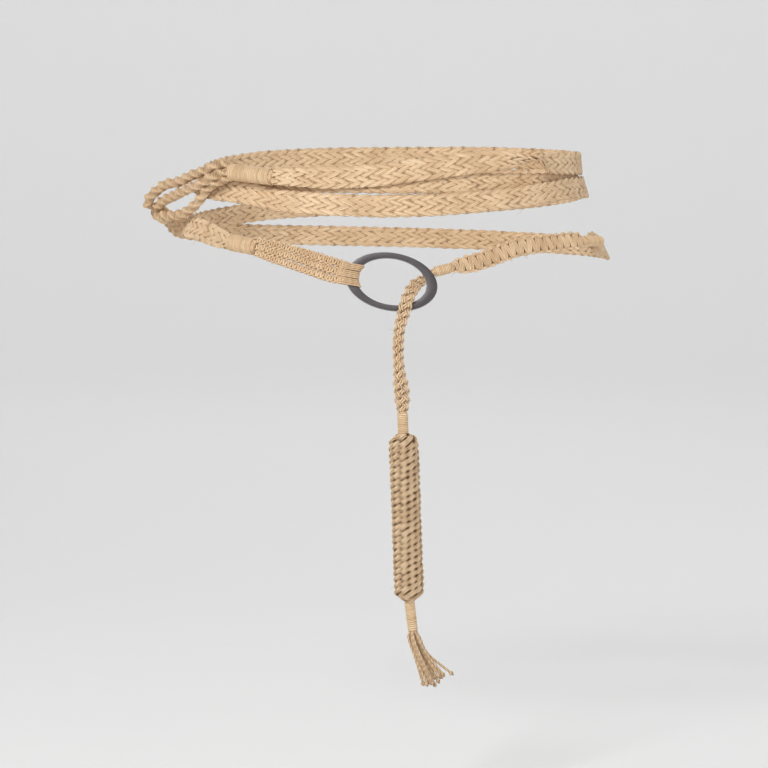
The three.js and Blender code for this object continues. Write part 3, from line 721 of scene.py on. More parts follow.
def makeMetal():
    material, tree, shader = newMaterial("satinMetal")
    here = tree.nodes.new("ShaderNodeTexCoord").outputs["Object"]
    stretched = wire(tree, "ShaderNodeMapping", {"Vector": here, "Scale": metal["brushScale"]})
    brush = wire(tree, "ShaderNodeTexNoise", {
        "Vector": stretched, "Scale": 1.0, "Detail": 4.0, "Roughness": 0.65,
    })
    cloud = wire(tree, "ShaderNodeTexNoise", {"Vector": here, "Scale": metal["cloudScale"], "Detail": 2.0})
    # Painted highlight on the bevelled edges, partly edge wear: they are mixed towards the pale edge colour
    wornAndHighlighted = attributeOf(tree, "edgeWearAndHighlight", "Fac")
    mottled = plus(tree, times(tree, brush, 0.6), times(tree, cloud, 0.4))
    plain = mixColours(tree, mottled, metal["plain"], metal["pale"])
    edged = mixColours(tree, times(tree, wornAndHighlighted, 0.75), plain, metal["edge"])
    tree.links.new(edged, shader.inputs["Base Color"])
    rough = wire(tree, "ShaderNodeMapRange", {
        "Value": mottled, "To Min": metal["smoothest"], "To Max": metal["roughest"],
    })
    tree.links.new(rough, shader.inputs["Roughness"])
    bump = wire(tree, "ShaderNodeBump", {"Height": brush, "Strength": 0.12, "Distance": 0.0001})
    tree.links.new(bump, shader.inputs["Normal"])
    shader.inputs["Metallic"].default_value = 1.0
    return material


satinMetal = makeMetal()
print("materials built")


# Cords and threads: points, the way their section faces, and how deep they lie, which sets their painted
# shade
def cordLine(points, out, size=1.0, tone=0.0, paintedShade=0.0):
    along = unit(np.gradient(points, axis=0))
    facing = unit(out - along * np.sum(out * along, axis=1, keepdims=True))
    return {"points": points, "sectionNormal": facing, "sectionSize": size, "tone": tone, "paintedShade": paintedShade}


# The tail hangs through the ring: the cord comes first
tail = {
    "width": 7.3, "thick": 4.6, "tooth": 5.8, "strands": 4, "thread": 1.62, "step": 0.9, "core": 5.2,
    "seed": 31,
    "route": [
        (21.6, 4.2, 1.6), (16.6, 1.0, -1.2), (13.3, -3.6, -5.2), (10.9, -5.9, -10.4), (9.1, -7.4, -15.8),
        (7.2, -8.2, -23.2), (5.5, -8.2, -29.6), (4.5, -7.6, -39), (4.4, -7, -48), (5.2, -6.8, -60),
        (6.6, -6.6, -71), (7.1, -6.5, -79.5), (7.3, -6.5, -87),
    ],
    "widths": [
        (0, 0.75), (0.08, 0.98), (0.18, 1.34), (0.34, 1.32), (0.5, 1.1), (0.7, 1.1), (0.84, 1.5),
        (0.94, 1.5), (1, 1.0),
    ],
}
whippings = {  # the two ends are places round the hollow, and coils are a share along and a thread width
    "whippingLeft": {
        "node": "whipping_left", "diameter": 11.6, "ends": [(37.1, -2.55, 1.18), (45.9, -2.38, 1.18)],
        "coils": [(0, 1.25), (0.4, 1.15), (0.6, 0.95), (1, 0.95)],
    },
    "whippingUpper": {
        "node": "whipping_upper", "diameter": 11.6, "ends": [(34.4, 0.49, 3.08), (49.9, 0.67, 3.16)],
        "coils": [(0, 1.3), (0.3, 1.15), (0.6, 1.1), (1, 1.3)],
    },
    "whippingBack": {
        "node": "whipping_back", "diameter": 11.6, "ends": [(98.8, -1.18, 7.4), (102.9, -1.49, 6.1)],
        "coils": [(0, 1.0), (1, 1.0)],
    },
    "whippingRight": {
        "node": "whipping_right", "diameter": 7.2, "ends": [(288.5, -2.43, 1.75), (297.9, -2.39, 1.16)],
        "coils": [(0, 0.95), (1, 0.95)],
    },
    "whippingBuckle": {
        "node": "whipping_buckle", "diameter": 7.2, "ends": [(345.5, -3.39, 1.6), (349.2, -3.55, 1.3)],
        "coils": [(0, 1.1), (1, 1.1)],
    },
}
tailWhippings = {
    "top": {"diameter": 7.4, "coils": [(0, 1.2), (1, 1.2)], "seed": 51},
    "lower": {"diameter": 7.0, "coils": [(0, 0.9), (0.55, 0.9), (0.68, 1.35), (1, 1.5)], "seed": 52},
}
binding = {
    "overlap": 0.4, "coreInset": 1.5, "coreProud": 0.5, "rounding": 1.2, "stepsPerTurn": 18, "seed": 40,
}
buckleStart, buckleEnd = (hollowPoint(*end) for end in whippings["whippingBuckle"]["ends"])
tailLead = unit(buckleEnd - buckleStart)
tailControls = [buckleEnd + tailLead * length * mm for length in (0.3, 3.4)]
tailControls += [ringMiddle + np.array(place) * mm for place in tail["route"]]
tailPoints = roundedCurve(tailControls, 400)
tailShares = np.linspace(0, 1, len(tailPoints))
tailWidths = smoothTable(tail["widths"])(tailShares)[:, 0]
tailRoute = makeRoute(tailPoints, np.tile((0.0, -1.0, 0.0), (len(tailPoints), 1)), tailWidths)


# Below the braid: whipping, knotted bar, lower whipping and tassel, each at its own slight tilt
hanging = {
    "clearance": 0.3, "topWhipping": 14, "bar": 112, "lowerWhipping": 20.5, "barTilt": 2.1, "lowerTilt": 6.8,
}


def hangingAt(tilt):
    return np.array([math.sin(math.radians(tilt)), 0, -math.cos(math.radians(tilt))])


down, lowerDown = hangingAt(hanging["barTilt"]), hangingAt(hanging["lowerTilt"])
gap = hanging["clearance"] * mm
topStart = tailPoints[-1] + down * gap
topEnd = topStart + down * hanging["topWhipping"] * mm
barTop = topEnd + down * gap
barBottom = barTop + down * hanging["bar"] * mm
lowerTop = barBottom + down * gap + lowerDown * gap
lowerBottom = lowerTop + lowerDown * hanging["lowerWhipping"] * mm
tasselTop = lowerBottom + lowerDown * gap
tailEnd = [tailPoints[-1], topEnd, barTop, barBottom, lowerTop, lowerBottom]


# Where each cord of a flat braid runs: side to side, over and under the others
def braidPhase(s, values, strand):
    lay = values["tooth"] * values["strands"] * mm
    return 2 * np.pi * (s / lay + strand / values["strands"])


def swayOf(phase, corner):
    return np.arcsin(corner * np.sin(phase - np.pi / 2)) / math.asin(corner)


def overOf(phase, crossings, crisp):
    wave = np.sin(crossings * phase)
    return wave / np.sqrt(wave ** 2 + crisp ** 2) * math.sqrt(1 + crisp ** 2)


def addTail():
    rng = np.random.default_rng(tail["seed"])
    s = np.arange(0, tailRoute["total"], tail["step"] * mm)
    lines = []
    for strand in range(tail["strands"]):
        phase = braidPhase(s, tail, strand)
        width = onRoute(tailRoute, s)["width"]
        reach = (tail["width"] * width / 2 - tail["thread"] * 1.05) * mm
        sway = swayOf(phase, 0.93) * reach + wander(rng, len(s), 6, 0.15) * mm
        over = overOf(phase, tail["strands"] - 1, 0.5)
        out = over * (tail["thick"] / 2 - tail["thread"] * 0.5) * mm * 0.86
        slope = np.gradient(sway, s)
        for side in (-0.5, 0.5):
            shift = side * tail["thread"] * 1.04 * mm / np.sqrt(1 + slope ** 2)
            at, points = offsetLine(tailRoute, s - slope * shift * 0.6, sway + shift, out)
            tone = rng.uniform(-0.8, 0.8)
            size = 1 + wander(rng, len(s), 5, 0.05)
            # Painted shade where a strand passes from over to under
            lines.append(cordLine(points, at["out"], size, tone, 0.75 * (1 - np.abs(over)) + 0.1))
    mesh = sweepCords("tailBraid", lines, jute, tail["thread"] * mm, sides=8, lobes=2.0, lobeDepth=0.14,
                      lay=0.008)
    core = roundedCurve(tailEnd, 60)
    # The core under the braid is painted dark as shade, by its low tone and its painted shade
    inner = cordLine(core, np.tile((0.0, -1.0, 0.0), (60, 1)), 1.0, -0.6, 0.6)
    hidden = sweepCords("tailBraid", [inner], jute, tail["core"] * mm, sides=12)
    return addPiece("tailBraid", [mesh, hidden], "tail_braid")


tailPiece = addTail()


def coilLines(route, diameter, coils, rng):
    read = smoothTable(coils)
    shares = np.linspace(0, 1, 400)
    pitch = read(shares)[:, 0] * mm
    turns = np.r_[0, np.cumsum(np.diff(shares) * route["total"] / pitch[1:])]
    count = int(turns[-1] * binding["stepsPerTurn"])
    turn = np.linspace(0.35, turns[-1] - 0.35, count)
    share = np.interp(turn, turns, shares)
    thread = read(share)[:, 0]
    angle = 2 * np.pi * turn
    radius = (diameter / 2 - thread / 2) * mm * (1 + wander(rng, count, 9, 0.008))
    at, points = offsetLine(route, share * route["total"], radius * np.cos(angle), radius * np.sin(angle))
    facing = at["across"] * np.cos(angle)[:, None] + at["out"] * np.sin(angle)[:, None]
    return cordLine(points, facing, thread * 1.05, rng.uniform(-0.2, 0.2) + wander(rng, count, 20, 0.4), 0.0)


def addWhipping(name, node, route, diameter, coils, seed):
    rng = np.random.default_rng(seed)
    coil = coilLines(route, diameter, coils, rng)
    thread = sweepCords(name, [coil], bindingThread, 1.0 * mm, sides=8, creaseShade=0.8)
    s = np.linspace(0, route["total"], 40)
    at, points = offsetLine(route, s, s * 0, s * 0)
    fromEnd = np.minimum(s, route["total"] - s) / (binding["rounding"] * mm)
    proud = np.sign(s / route["total"] - 0.5) * binding["coreProud"] * mm * (fromEnd < 1)
    points += at["along"] * proud[:, None]
    size = 1 - 0.4 * np.maximum(0, 1 - fromEnd) ** 2
    # The core under the coils is painted dark as shade; its rounded ends get less painted shade
    inside = cordLine(points, at["out"], size, -0.2, 0.15 + 0.6 * (fromEnd > 1))
    core = sweepCords(name, [inside], jute, (diameter - binding["coreInset"]) * mm, sides=40, lobes=10.0,
                      lobeDepth=0.14)
    return addPiece(name, [thread, core], node)


for number, (name, values) in enumerate(whippings.items()):
    start, end = (hollowPoint(*place) for place in values["ends"])
    route = straightRoute(start, end, facing=(0, 0, 1), longer=binding["overlap"] * mm)
    addWhipping(name, values["node"], route, values["diameter"], values["coils"], binding["seed"] + number)


def addTailWhipping(name, node, start, end, values):
    route = straightRoute(start, end, longer=binding["overlap"] * mm)
    return addWhipping(name, node, route, values["diameter"], values["coils"], values["seed"])


topPiece = addTailWhipping(
    "whippingTailTop", "whipping_tail_top", topStart, topEnd, tailWhippings["top"])
lowerPiece = addTailWhipping(
    "whippingTailBottom", "whipping_tail_bottom", lowerTop, lowerBottom, tailWhippings["lower"])
print("whippings built")

bar = {
    "diameter": 19.8, "rows": 26, "columns": 11, "thread": 0.56, "reach": 5.9, "slant": 0.7, "shoulder": 7.5,
    "creaseShade": 1.0, "ends": 0.2, "knotDepth": 1.5, "coreInset": 4.6, "coreShort": 0.6, "seed": 7,
}


def addBar():
    rows = bar["rows"]
    pitch = hanging["bar"] / (rows + bar["ends"])
    start = bpy.data.meshes.new("barStart")
    knots = grown("knottedBar", start, knotTree, {
        "Rows": rows, "Columns": bar["columns"], "Row pitch": pitch * mm,
        "Radius": (bar["diameter"] / 2 - bar["knotDepth"]) * mm,
        "Thread radius": bar["thread"] * mm, "Knot reach": bar["reach"] * mm, "Slant": bar["slant"],
        "Shoulder": bar["shoulder"] * mm, "Crease shade": bar["creaseShade"],
        "End room": bar["ends"], "Seed": bar["seed"], "Material": jute,
    })
    turn = Vector((0, 0, -1)).rotation_difference(Vector(down)).to_matrix().to_4x4()
    turn.translation = Vector(barTop)
    knots.transform(turn)
    route = straightRoute(barTop, barBottom, count=60)
    s = np.linspace(bar["coreShort"] * mm, route["total"] - bar["coreShort"] * mm, 40)
    fromEnd = np.minimum(s, route["total"] - s) / (bar["shoulder"] * mm)
    size = np.maximum(0.3, 1 - (1 - np.minimum(fromEnd, 1)) ** knotShape["rounding"])
    at, points = offsetLine(route, s, s * 0, s * 0)
    # The core between the knots is painted fully in shade, by its low tone and its painted shade
    core = sweepCords("knottedBar", [cordLine(points, at["out"], size, -0.8, 1.0)], jute,
                      (bar["diameter"] - bar["coreInset"]) * mm, sides=20)
    return addPiece("knottedBar", [knots, core], "knotted_bar")


barPiece = addBar()

tassel = {
    "cord": 2.0, "seed": 61,
    "locks": [  # where a lock ends below the whipping, its bulge on the way, and its cords
        {"cords": 1, "tip": (7.2, 0.8, -38.0), "bulge": (1.6, 0.4, -18)},
        {"cords": 5, "tip": (12.6, -1.6, -36.8), "bulge": (3.4, -1.4, -17)},
        {"cords": 5, "tip": (16.4, 1.6, -34.2), "bulge": (5.4, 1.8, -15.5)},
        {"cords": 3, "tip": (20.0, -0.8, -30.8), "bulge": (7.6, -0.6, -14.5)},
        {"cords": 1, "tip": (27.2, 0.6, -29.8), "bulge": (8.8, 1.0, -13.5)},
    ],
}


def addTassel():
    rng = np.random.default_rng(tassel["seed"])
    facing = np.tile((0.0, -1.0, 0.0), (64, 1))
    lines = []
    for i, lock in enumerate(tassel["locks"]):
        for k in range(lock["cords"]):
            spread = k - (lock["cords"] - 1) / 2
            start = np.array([(i - 2) * 1.05 + spread * 0.4, spread * 0.9 * (-1) ** i, -0.2])
            neck = start * (1.75, 1.3, 1) + np.array([0.7, 0, -3.8])
            bulge = np.array(lock["bulge"]) + (spread * 1.0, spread * 1.1 * (-1) ** i, rng.uniform(-1, 1))
            tip = np.array(lock["tip"]) + (spread * 1.35, spread * 1.2 * (-1) ** k, rng.uniform(-1.4, 1.4))
            controls = tasselTop + np.array([start, neck, bulge, tip]) * mm
            points = roundedCurve(controls, 64)
            fromTip = np.linspace(np.linalg.norm(tip - start), 0, 64)
            size = 0.92 + 0.75 * np.exp(-((fromTip - 1.7) / 0.9) ** 2) - 0.35 * np.exp(-(fromTip / 0.5) ** 2)
            # Painted shade at the tip of each cord, below its knot
            paintedShade = 0.25 * np.exp(-fromTip / 1.6)
            lines.append(cordLine(points, facing, size, rng.uniform(0.1, 2.2), paintedShade))
    mesh = sweepCords("tasselCords", lines, jute, tassel["cord"] * mm, sides=8, lobes=2.0, lobeDepth=0.2,
                      lay=0.0075, creaseShade=0.8)
    return addPiece("tasselCords", [mesh], "tassel")


tasselPiece = addTassel()
print("tail built")

# Flat braid: nine flat strands of three threads, each over two and under two
braid = {
    "width": 15.6, "thick": 2.35, "strands": 9, "tooth": 8.05, "strandWidth": 3.25, "strandThick": 1.3,
    "step": 1.7, "corner": 0.965, "crisp": 0.36, "seed": 11,
}
waistTurns = [
    (46.6, -2.37, 1.16, 0.66, 0), (50.9, -2.28, 0.5, 0.8, 0), (55.4, -2.17, 0.05, 0.9, 0),
    (60.4, -2.01, 0, 1, 0), (66.3, -1.9, 0, 1, 0), (76.8, -1.83, 0, 1, 0), (90, -1.8, 0, 1, 0),
    (105, -1.72, 0, 1, 0), (125, -1.5, 0, 1, 0), (150, -1.2, 0, 1, 0), (168, -1.09, 0, 1, 0),
    (195, -1.04, 1, 1, 0), (215, -0.85, 1, 1, 0), (245, -0.4, 1, 1, 0), (262, -0.13, 1, 1, 0),
    (279, -0.07, 1, 1, 0), (294, -0.09, 1, 1, 0), (306, -0.22, 1, 1, 0), (316, -0.37, 1, 1, 0),
    (332, -0.55, 1, 1, 0), (351, -0.73, 1, 1, 0), (361.4, -0.76, 1, 1, 0), (377, -0.69, 1, 1, 0),
    (386, -0.6, 1, 1, 0), (394.4, -0.5, 1, 1, 0), (404, -0.28, 1, 1, 0), (413, -0.17, 1, 1, 0),
    (422, -0.1, 1, 1, 0), (434, 0.06, 1, 1, 0), (446, 0.16, 1, 1, 0), (480, 0.1, 1, 1, 0),
    (500, 0.05, 0.9, 1, 0), (522, 0.03, 0, 1, 0), (545, 0.04, 0, 1, 0), (575, 0.1, 0, 1, 0),
    (605, 0.2, 0, 1, 0), (642, 0.25, 0, 1, 0), (667, 0.14, 0, 1, 0), (688, 0.17, 0, 1, 0),
    (711, 0.25, 0, 1, 0), (748, 0.3, 0, 1, 0), (790, 0.38, 0, 1, 0), (810, 0.45, 0, 1, 0),
    (840, 0.8, 0, 1, 0), (860, 1.0, 0, 1, 0), (880, 1.09, 0, 1, 0), (902, 1.12, 0, 1, 0),
    (930, 1.13, 1, 1, 0), (960, 1.05, 1, 1, 0), (985, 0.98, 1, 1, 0), (1000, 0.97, 1, 1, 0),
    (1018, 1.0, 1, 1, 0), (1026, 1.05, 1.2, 0.94, 0.04), (1031, 1.13, 1.9, 0.76, 0.3),
    (1035, 1.22, 2.4, 0.66, 0.55), (1040.3, 1.21, 1.9, 0.72, 0.82), (1046, 1.17, 1.2, 0.9, 0.97),
    (1052, 1.13, 1, 1, 1), (1059, 1.03, 1, 1, 1), (1065, 0.92, 1, 1, 1), (1074.3, 0.76, 1, 1, 1),
    (1081.5, 0.61, 1, 1, 1), (1090, 0.5, 1, 1, 1), (1097.6, 0.45, 1, 1, 1), (1105, 0.47, 1.5, 0.9, 1),
    (1110, 0.48, 2.5, 0.8, 1), (1113.7, 0.49, 3.02, 0.7, 1),
]
hipTurn = [
    (1183.3, -1.52, 5.9, 0.54, 0), (1185.5, -1.64, 5.6, 0.72, 0), (1188.5, -1.8, 5.1, 0.95, 0),
    (1192.6, -2.02, 4.6, 1, 0), (1203, -2.25, 3.2, 1, 0), (1218, -2.4, 1.5, 1, 0),
    (1236, -2.5, 1, 1, 0), (1256, -2.58, 0, 1, 0), (1290, -2.72, 0, 1, 0), (1320, -2.84, 0, 1, 0),
    (1342, -2.9, 0, 1, 0), (1350, -2.86, 0, 1.08, 0), (1357, -2.76, 0, 1.26, 0),
    (1363, -2.64, 0, 1.3, 0), (1367.5, -2.56, 0, 1.2, 0), (1370, -2.53, 0, 0.92, 0),
]


def braidStrands(route, seed):
    rng = np.random.default_rng(seed)
    s = np.linspace(0, route["total"], int(route["total"] / (braid["step"] * mm)))
    strands = []
    for strand in range(braid["strands"]):
        phase = braidPhase(s, braid, strand) + wander(rng, len(s), 14, 0.035)
        width = onRoute(route, s)["width"]
        reach = (braid["width"] - braid["strandWidth"] * 0.92) / 2 * width * mm
        over = overOf(phase, 4, braid["crisp"])
        thicker = np.minimum(1.5, width ** -0.6) * (1 + 1.6 * np.clip((0.8 - width) / 0.22, 0, 1))
        out = over * (braid["thick"] - braid["strandThick"]) / 2 * thicker * mm
        across = swayOf(phase, braid["corner"]) * reach + wander(rng, len(s), 5, 0.06) * mm
        at, points = offsetLine(route, s, across, out + wander(rng, len(s), 5, 0.04) * mm)
        size = width ** 0.85 * (1 + wander(rng, len(s), 7, 0.03))
        tone = rng.uniform(-0.5, 0.5) + wander(rng, len(s), 9, 0.45)
        # Painted shade where a strand dives from over to under
        paintedShade = np.clip(0.95 - np.abs(over) * 1.9, 0, 1)
        strands.append(cordLine(points, at["out"], size, tone, paintedShade))
    return s, strands


def addBraids(pieces, rows, seed):  # the strands run on through every piece, each cut where its node is
    route = longerRoute(turnRoute(rows), 1.4)
    s, strands = braidStrands(route, seed)
    for name, (node, first, last) in pieces.items():
        ends = np.interp([first, last], route["angles"], route["lengths"])
        low, high = np.searchsorted(s, ends[0]), min(len(s) - 1, np.searchsorted(s, ends[1]))
        cut = [{
            key: value[low:high + 1] if np.ndim(value) else value for key, value in strand.items()
        } for strand in strands]
        mesh = sweepCords(name, cut, jute, braid["strandWidth"] * mm, braid["strandThick"] * mm, sides=12,
                          lobes=3.0, lobeDepth=0.34, ribbon=True, creaseShade=0.5)
        addPiece(name, [mesh], node)


addBraids({
    "braidLower": ("strap_lower", 45.6, 445), "braidMiddle": ("strap_middle", 445, 810),
    "braidUpper": ("strap_upper", 810, 1114.7),
}, waistTurns, braid["seed"])
addBraids({"braidHip": ("strap_hip", 1182.3, 1371)}, hipTurn, braid["seed"] + 1)
print("flat braids built")


# Square-knot sennits: one cord zigzags over the front of the core, the other over its back,
# and at the edges each turns round the other
def knotLines(route, values, rng):
    knots, threads, thread = values["knots"], values["threads"], values["thread"]
    pitch = route["total"] / knots
    u = np.linspace(0, knots, knots * 12 + 1)
    wave = np.cos(np.pi * u)
    turning = wave ** 2
    swing = np.sin(np.pi * u)
    swing = swing / np.sqrt(swing ** 2 + 0.4) * 1.18
    s = pitch * (u + values["swing"] / (2 * np.pi) * np.sin(2 * np.pi * u))
    spacing = thread * values["spacing"]
    nested = spacing * (1 - values["pinch"])
    reach = values["width"] / 2 - thread / 2 - (threads - 1) / 2 * nested
    half = values["thick"] / 2 - thread / 2
    width = onRoute(route, np.clip(s, 0, route["total"]))["width"]
    edge = np.clip((np.abs(wave) - 0.62) / 0.38, 0, 1)
    edge = edge * edge * (3 - 2 * edge)
    bow = np.sqrt(1 - 0.9 * wave ** 2)
    lines = []
    for cord in (1, -1):
        front = cord == 1
        out = half * bow if front else half * (0.95 * edge - bow * (1 - edge))
        side = reach * (values["tuck"] if front else 1)
        for k in range(threads):
            offset = (k - (threads - 1) / 2) * (1 + rng.uniform(-0.05, 0.05))
            across = cord * (wave * side + offset * nested * turning) * mm * width
            place = np.clip(s + swing * offset * spacing * mm, 0, route["total"])
            rise = (out + wander(rng, len(u), 4, 0.05)) * mm * (0.55 + 0.45 * width)
            at, points = offsetLine(route, place, across + wander(rng, len(u), 6, 0.06) * mm, rise)
            # Painted shade: the front cord at its turns, the back cord away from the edges where it lies
            # under
            paintedShade = 0.3 * turning ** 4 if front else 0.4 * (1 - edge)
            size = (1 + wander(rng, len(u), 6, 0.04)) * (1 - 0.1 * turning) * (0.6 + 0.4 * width)
            lines.append(cordLine(points, at["out"], size, rng.uniform(-0.7, 0.9), paintedShade))
    return lines


def coreMesh(name, route, width, thick):
    s = np.linspace(0, route["total"], 40)
    at, points = offsetLine(route, s, s * 0, s * 0)
    # The core, hidden under the knots, is painted dark as shade, by its low tone and its painted shade
    core = cordLine(points, at["out"], at["width"], -0.8, 0.85)
    return sweepCords(name, [core], jute, width * mm, thick * mm, sides=10)


wideSennit = {
    "width": 13.8, "thick": 4.8, "knots": 34, "threads": 3, "thread": 1.08, "spacing": 1.02, "pinch": 0.55,
    "swing": 0.75, "tuck": 0.86, "core": (8.6, 2.6), "seed": 71,
}
wideRoute = turnRoute([
    (298.3, -2.39, 1.12, 0.5), (300.3, -2.38, 0.94, 0.86), (302.8, -2.37, 0.78, 1), (306.6, -2.39, 0.62, 1),
    (312.3, -2.44, 0.62, 1), (319.6, -2.5, 0.62, 1), (325.9, -2.62, 0.62, 1), (330.8, -2.83, 0.7, 1),
    (334.9, -3.03, 0.85, 1), (339.8, -3.23, 1.2, 1), (343.3, -3.33, 1.45, 0.84), (345, -3.375, 1.58, 0.5),
])
wideRoute = longerRoute(wideRoute, 1.6)
lines = knotLines(wideRoute, wideSennit, np.random.default_rng(wideSennit["seed"]))
addPiece("wideSennit", [
    sweepCords("wideSennit", lines, jute, wideSennit["thread"] * mm, sides=8, creaseShade=0.6),
    coreMesh("wideSennit", wideRoute, *wideSennit["core"]),
], "wide_sennit")

narrowSennit = {
    "width": 6.9, "thick": 4.6, "knots": 38, "threads": 1, "thread": 1.85, "spacing": 1.0, "pinch": 0.6,
    "swing": 0.75, "tuck": 0.68, "core": (3.8, 2.0), "seed": 81,
}
limbLoop = {
    "pitch": 5.1, "strands": 4, "strand": 1.22, "thick": 1.1, "slack": 0.45, "corner": 1.0, "fan": 1.3,
    "front": 1.3, "back": 0.6,
}
narrowRoutes = {
    "sennitTop": ("sennit_top", [
        (36.5, -2.28, 1.16, 0.68), (32, -2.42, 1.0, 0.84), (23.5, -2.71, 0.95, 0.9),
        (15, -3.06, 2.2, 0.98), (13.2, -3.13, 2.5, 0.9)]),
    "sennitMiddle": ("sennit_middle", [
        (36.2, -2.56, 1.16, 0.68), (31.6, -2.73, 1.0, 0.84), (23.1, -3.055, 0.95, 0.9),
        (15, -3.415, 2.1, 0.98), (13.4, -3.485, 2.4, 0.9)]),
    "sennitBottom": ("sennit_bottom", [
        (35.9, -2.83, 1.16, 0.68), (31.2, -3.03, 1.0, 0.84), (22.7, -3.42, 0.95, 0.9),
        (15, -3.78, 1.8, 0.98), (13.6, -3.85, 2.1, 0.9)]),
}


def limbEdges(up):  # outer and inner edge of the ring's left limb, at a height up the ring
    outer, inner = ring["height"] / 2, ring["height"] / 2 - ring["sideBand"]
    return (-ring["length"] / 2 * math.sqrt(1 - (up / outer) ** 2),
            -(ring["length"] / 2 - ring["endBand"]) * math.sqrt(1 - (up / inner) ** 2))


def loopLines(route, up, rng):  # strands that leave the sennit, go round the limb and come back
    lines = []
    end = onRoute(route, np.array([route["total"] * 0.985]))
    half = ring["thick"] / 2 + hanging["clearance"] + limbLoop["thick"] / 2
    for k in range(limbLoop["strands"]):
        share = k - (limbLoop["strands"] - 1) / 2
        height = up + share * limbLoop["strand"] * 0.98
        outer, inner = limbEdges(height)
        left = outer - limbLoop["slack"] - limbLoop["thick"] / 2
        right = inner + limbLoop["slack"] + limbLoop["thick"] / 2
        corner = limbLoop["corner"]
        lead = end["point"][0] + end["across"][0] * share * limbLoop["fan"] * mm
        front, back = end["out"][0] * limbLoop["front"] * mm, end["out"][0] * -limbLoop["back"] * mm
        away = end["along"][0] * mm
        roundTheLimb = [
            (left + 0.6, 0.86), (left + 2.6, 1), ((left + right) / 2, 1), (right - corner, 1),
            (right, 0.45), (right, -0.45),
            (right - corner, -1), ((left + right) / 2, -1), (left + 1.6, -1), (left + 0.2, -0.5),
        ]
        controls = [lead + front * 0.6 - away * 4, lead + front * 1.3 - away * 0.5]
        controls += [onRing(across, height, half * out) for across, out in roundTheLimb]
        controls += [lead + back, lead + back - away * 3]
        points = roundedCurve(np.array(controls), 90)
        size = 1 + wander(rng, 90, 12, 0.05)
        lines.append(cordLine(points, np.tile(ringUp, (90, 1)), size, rng.uniform(-0.3, 0.9), 0.05))
    return lines


for i, (name, (node, rows)) in enumerate(narrowRoutes.items()):
    rng = np.random.default_rng(narrowSennit["seed"] + i)
    up = limbLoop["pitch"] * (1 - i)
    onHip = turnRoute(rows)
    toRing = np.linspace(0.08, 0.95, 10)[:, None]
    join = onRing(limbEdges(up)[0] - 1.4, up, 0.2)
    last = onHip["columns"][-1]
    points = np.vstack([onHip["columns"][:, :3], last[:3] + (join - last[:3]) * toRing])
    normals = np.vstack([onHip["columns"][:, 6:9], np.tile(unit(last[6:9] + ringOut), (10, 1))])
    widths = np.r_[onHip["columns"][:, 12], np.linspace(0.95, 0.9, 10)]
    route = makeRoute(points, normals, widths)
    route["angles"] = np.linspace(0, 1, len(points))
    route = longerRoute(route, 0.8)
    knots = knotLines(route, narrowSennit, rng)
    addPiece(name, [
        sweepCords(name, knots, jute, narrowSennit["thread"] * mm, sides=8, creaseShade=0.6),
        sweepCords(name, loopLines(route, up, rng), jute, limbLoop["strand"] * mm, sides=8, lobes=2.0,
                   lobeDepth=0.14, lay=0.007, creaseShade=0.5),
        coreMesh(name, route, *narrowSennit["core"]),
    ], node)
print("square-knot sennits built")

# Spiral sennits: half knots that all turn one way, so the two rows of loops wind round the core
spiral = {
    "long": 3.9, "short": 2.6, "thread": 1.2, "halfTurn": 10.6, "ridge": 3.0, "bump": 2.3,
    "core": (2.6, 2.2), "seed": 91,
}
spiralRoutes = {
    "spiralOuter": ("spiral_sennit_outer", [
        (50.2, 0.93, 3.1, 0.7), (54, 1.02, 3.7, 0.95), (57.5, 0.84, 4.0, 1), (61.3, 0.7, 4.2, 1),
        (69, 0.5, 4.3, 1), (77, 0.2, 4.9, 1), (84.2, 0.06, 6.7, 1), (90, -0.31, 8.3, 1),
        (93.2, -0.62, 9.2, 1), (95.8, -0.92, 9.3, 0.9), (98.35, -1.0, 8.05, 0.62)]),
    "spiralMiddle": ("spiral_sennit_middle", [
        (50.35, 0.67, 3.4, 0.7), (55, 0.52, 4.3, 0.95), (61.3, 0.17, 4.3, 1), (71, -0.12, 4.1, 1),
        (80.7, -0.42, 4.6, 1), (90, -0.72, 6.25, 1), (95.4, -1.04, 7.3, 0.9), (98.1, -1.19, 7.2, 0.62)]),
    "spiralInner": ("spiral_sennit_inner", [
        (50.4, 0.42, 3.0, 0.7), (56, 0.22, 3.2, 0.95), (61.5, -0.1, 2.9, 1), (66.3, -0.51, 2.1, 1),
        (73, -0.97, 1.7, 1), (80.2, -1.26, 2.1, 1), (86.9, -1.36, 3.6, 1), (93, -1.4, 5.8, 0.9),
        (97.35, -1.45, 7.15, 0.58)]),
}


def spiralRadius(angle):  # of the oval section
    return 1 / np.hypot(np.cos(angle) / spiral["long"], np.sin(angle) / spiral["short"])


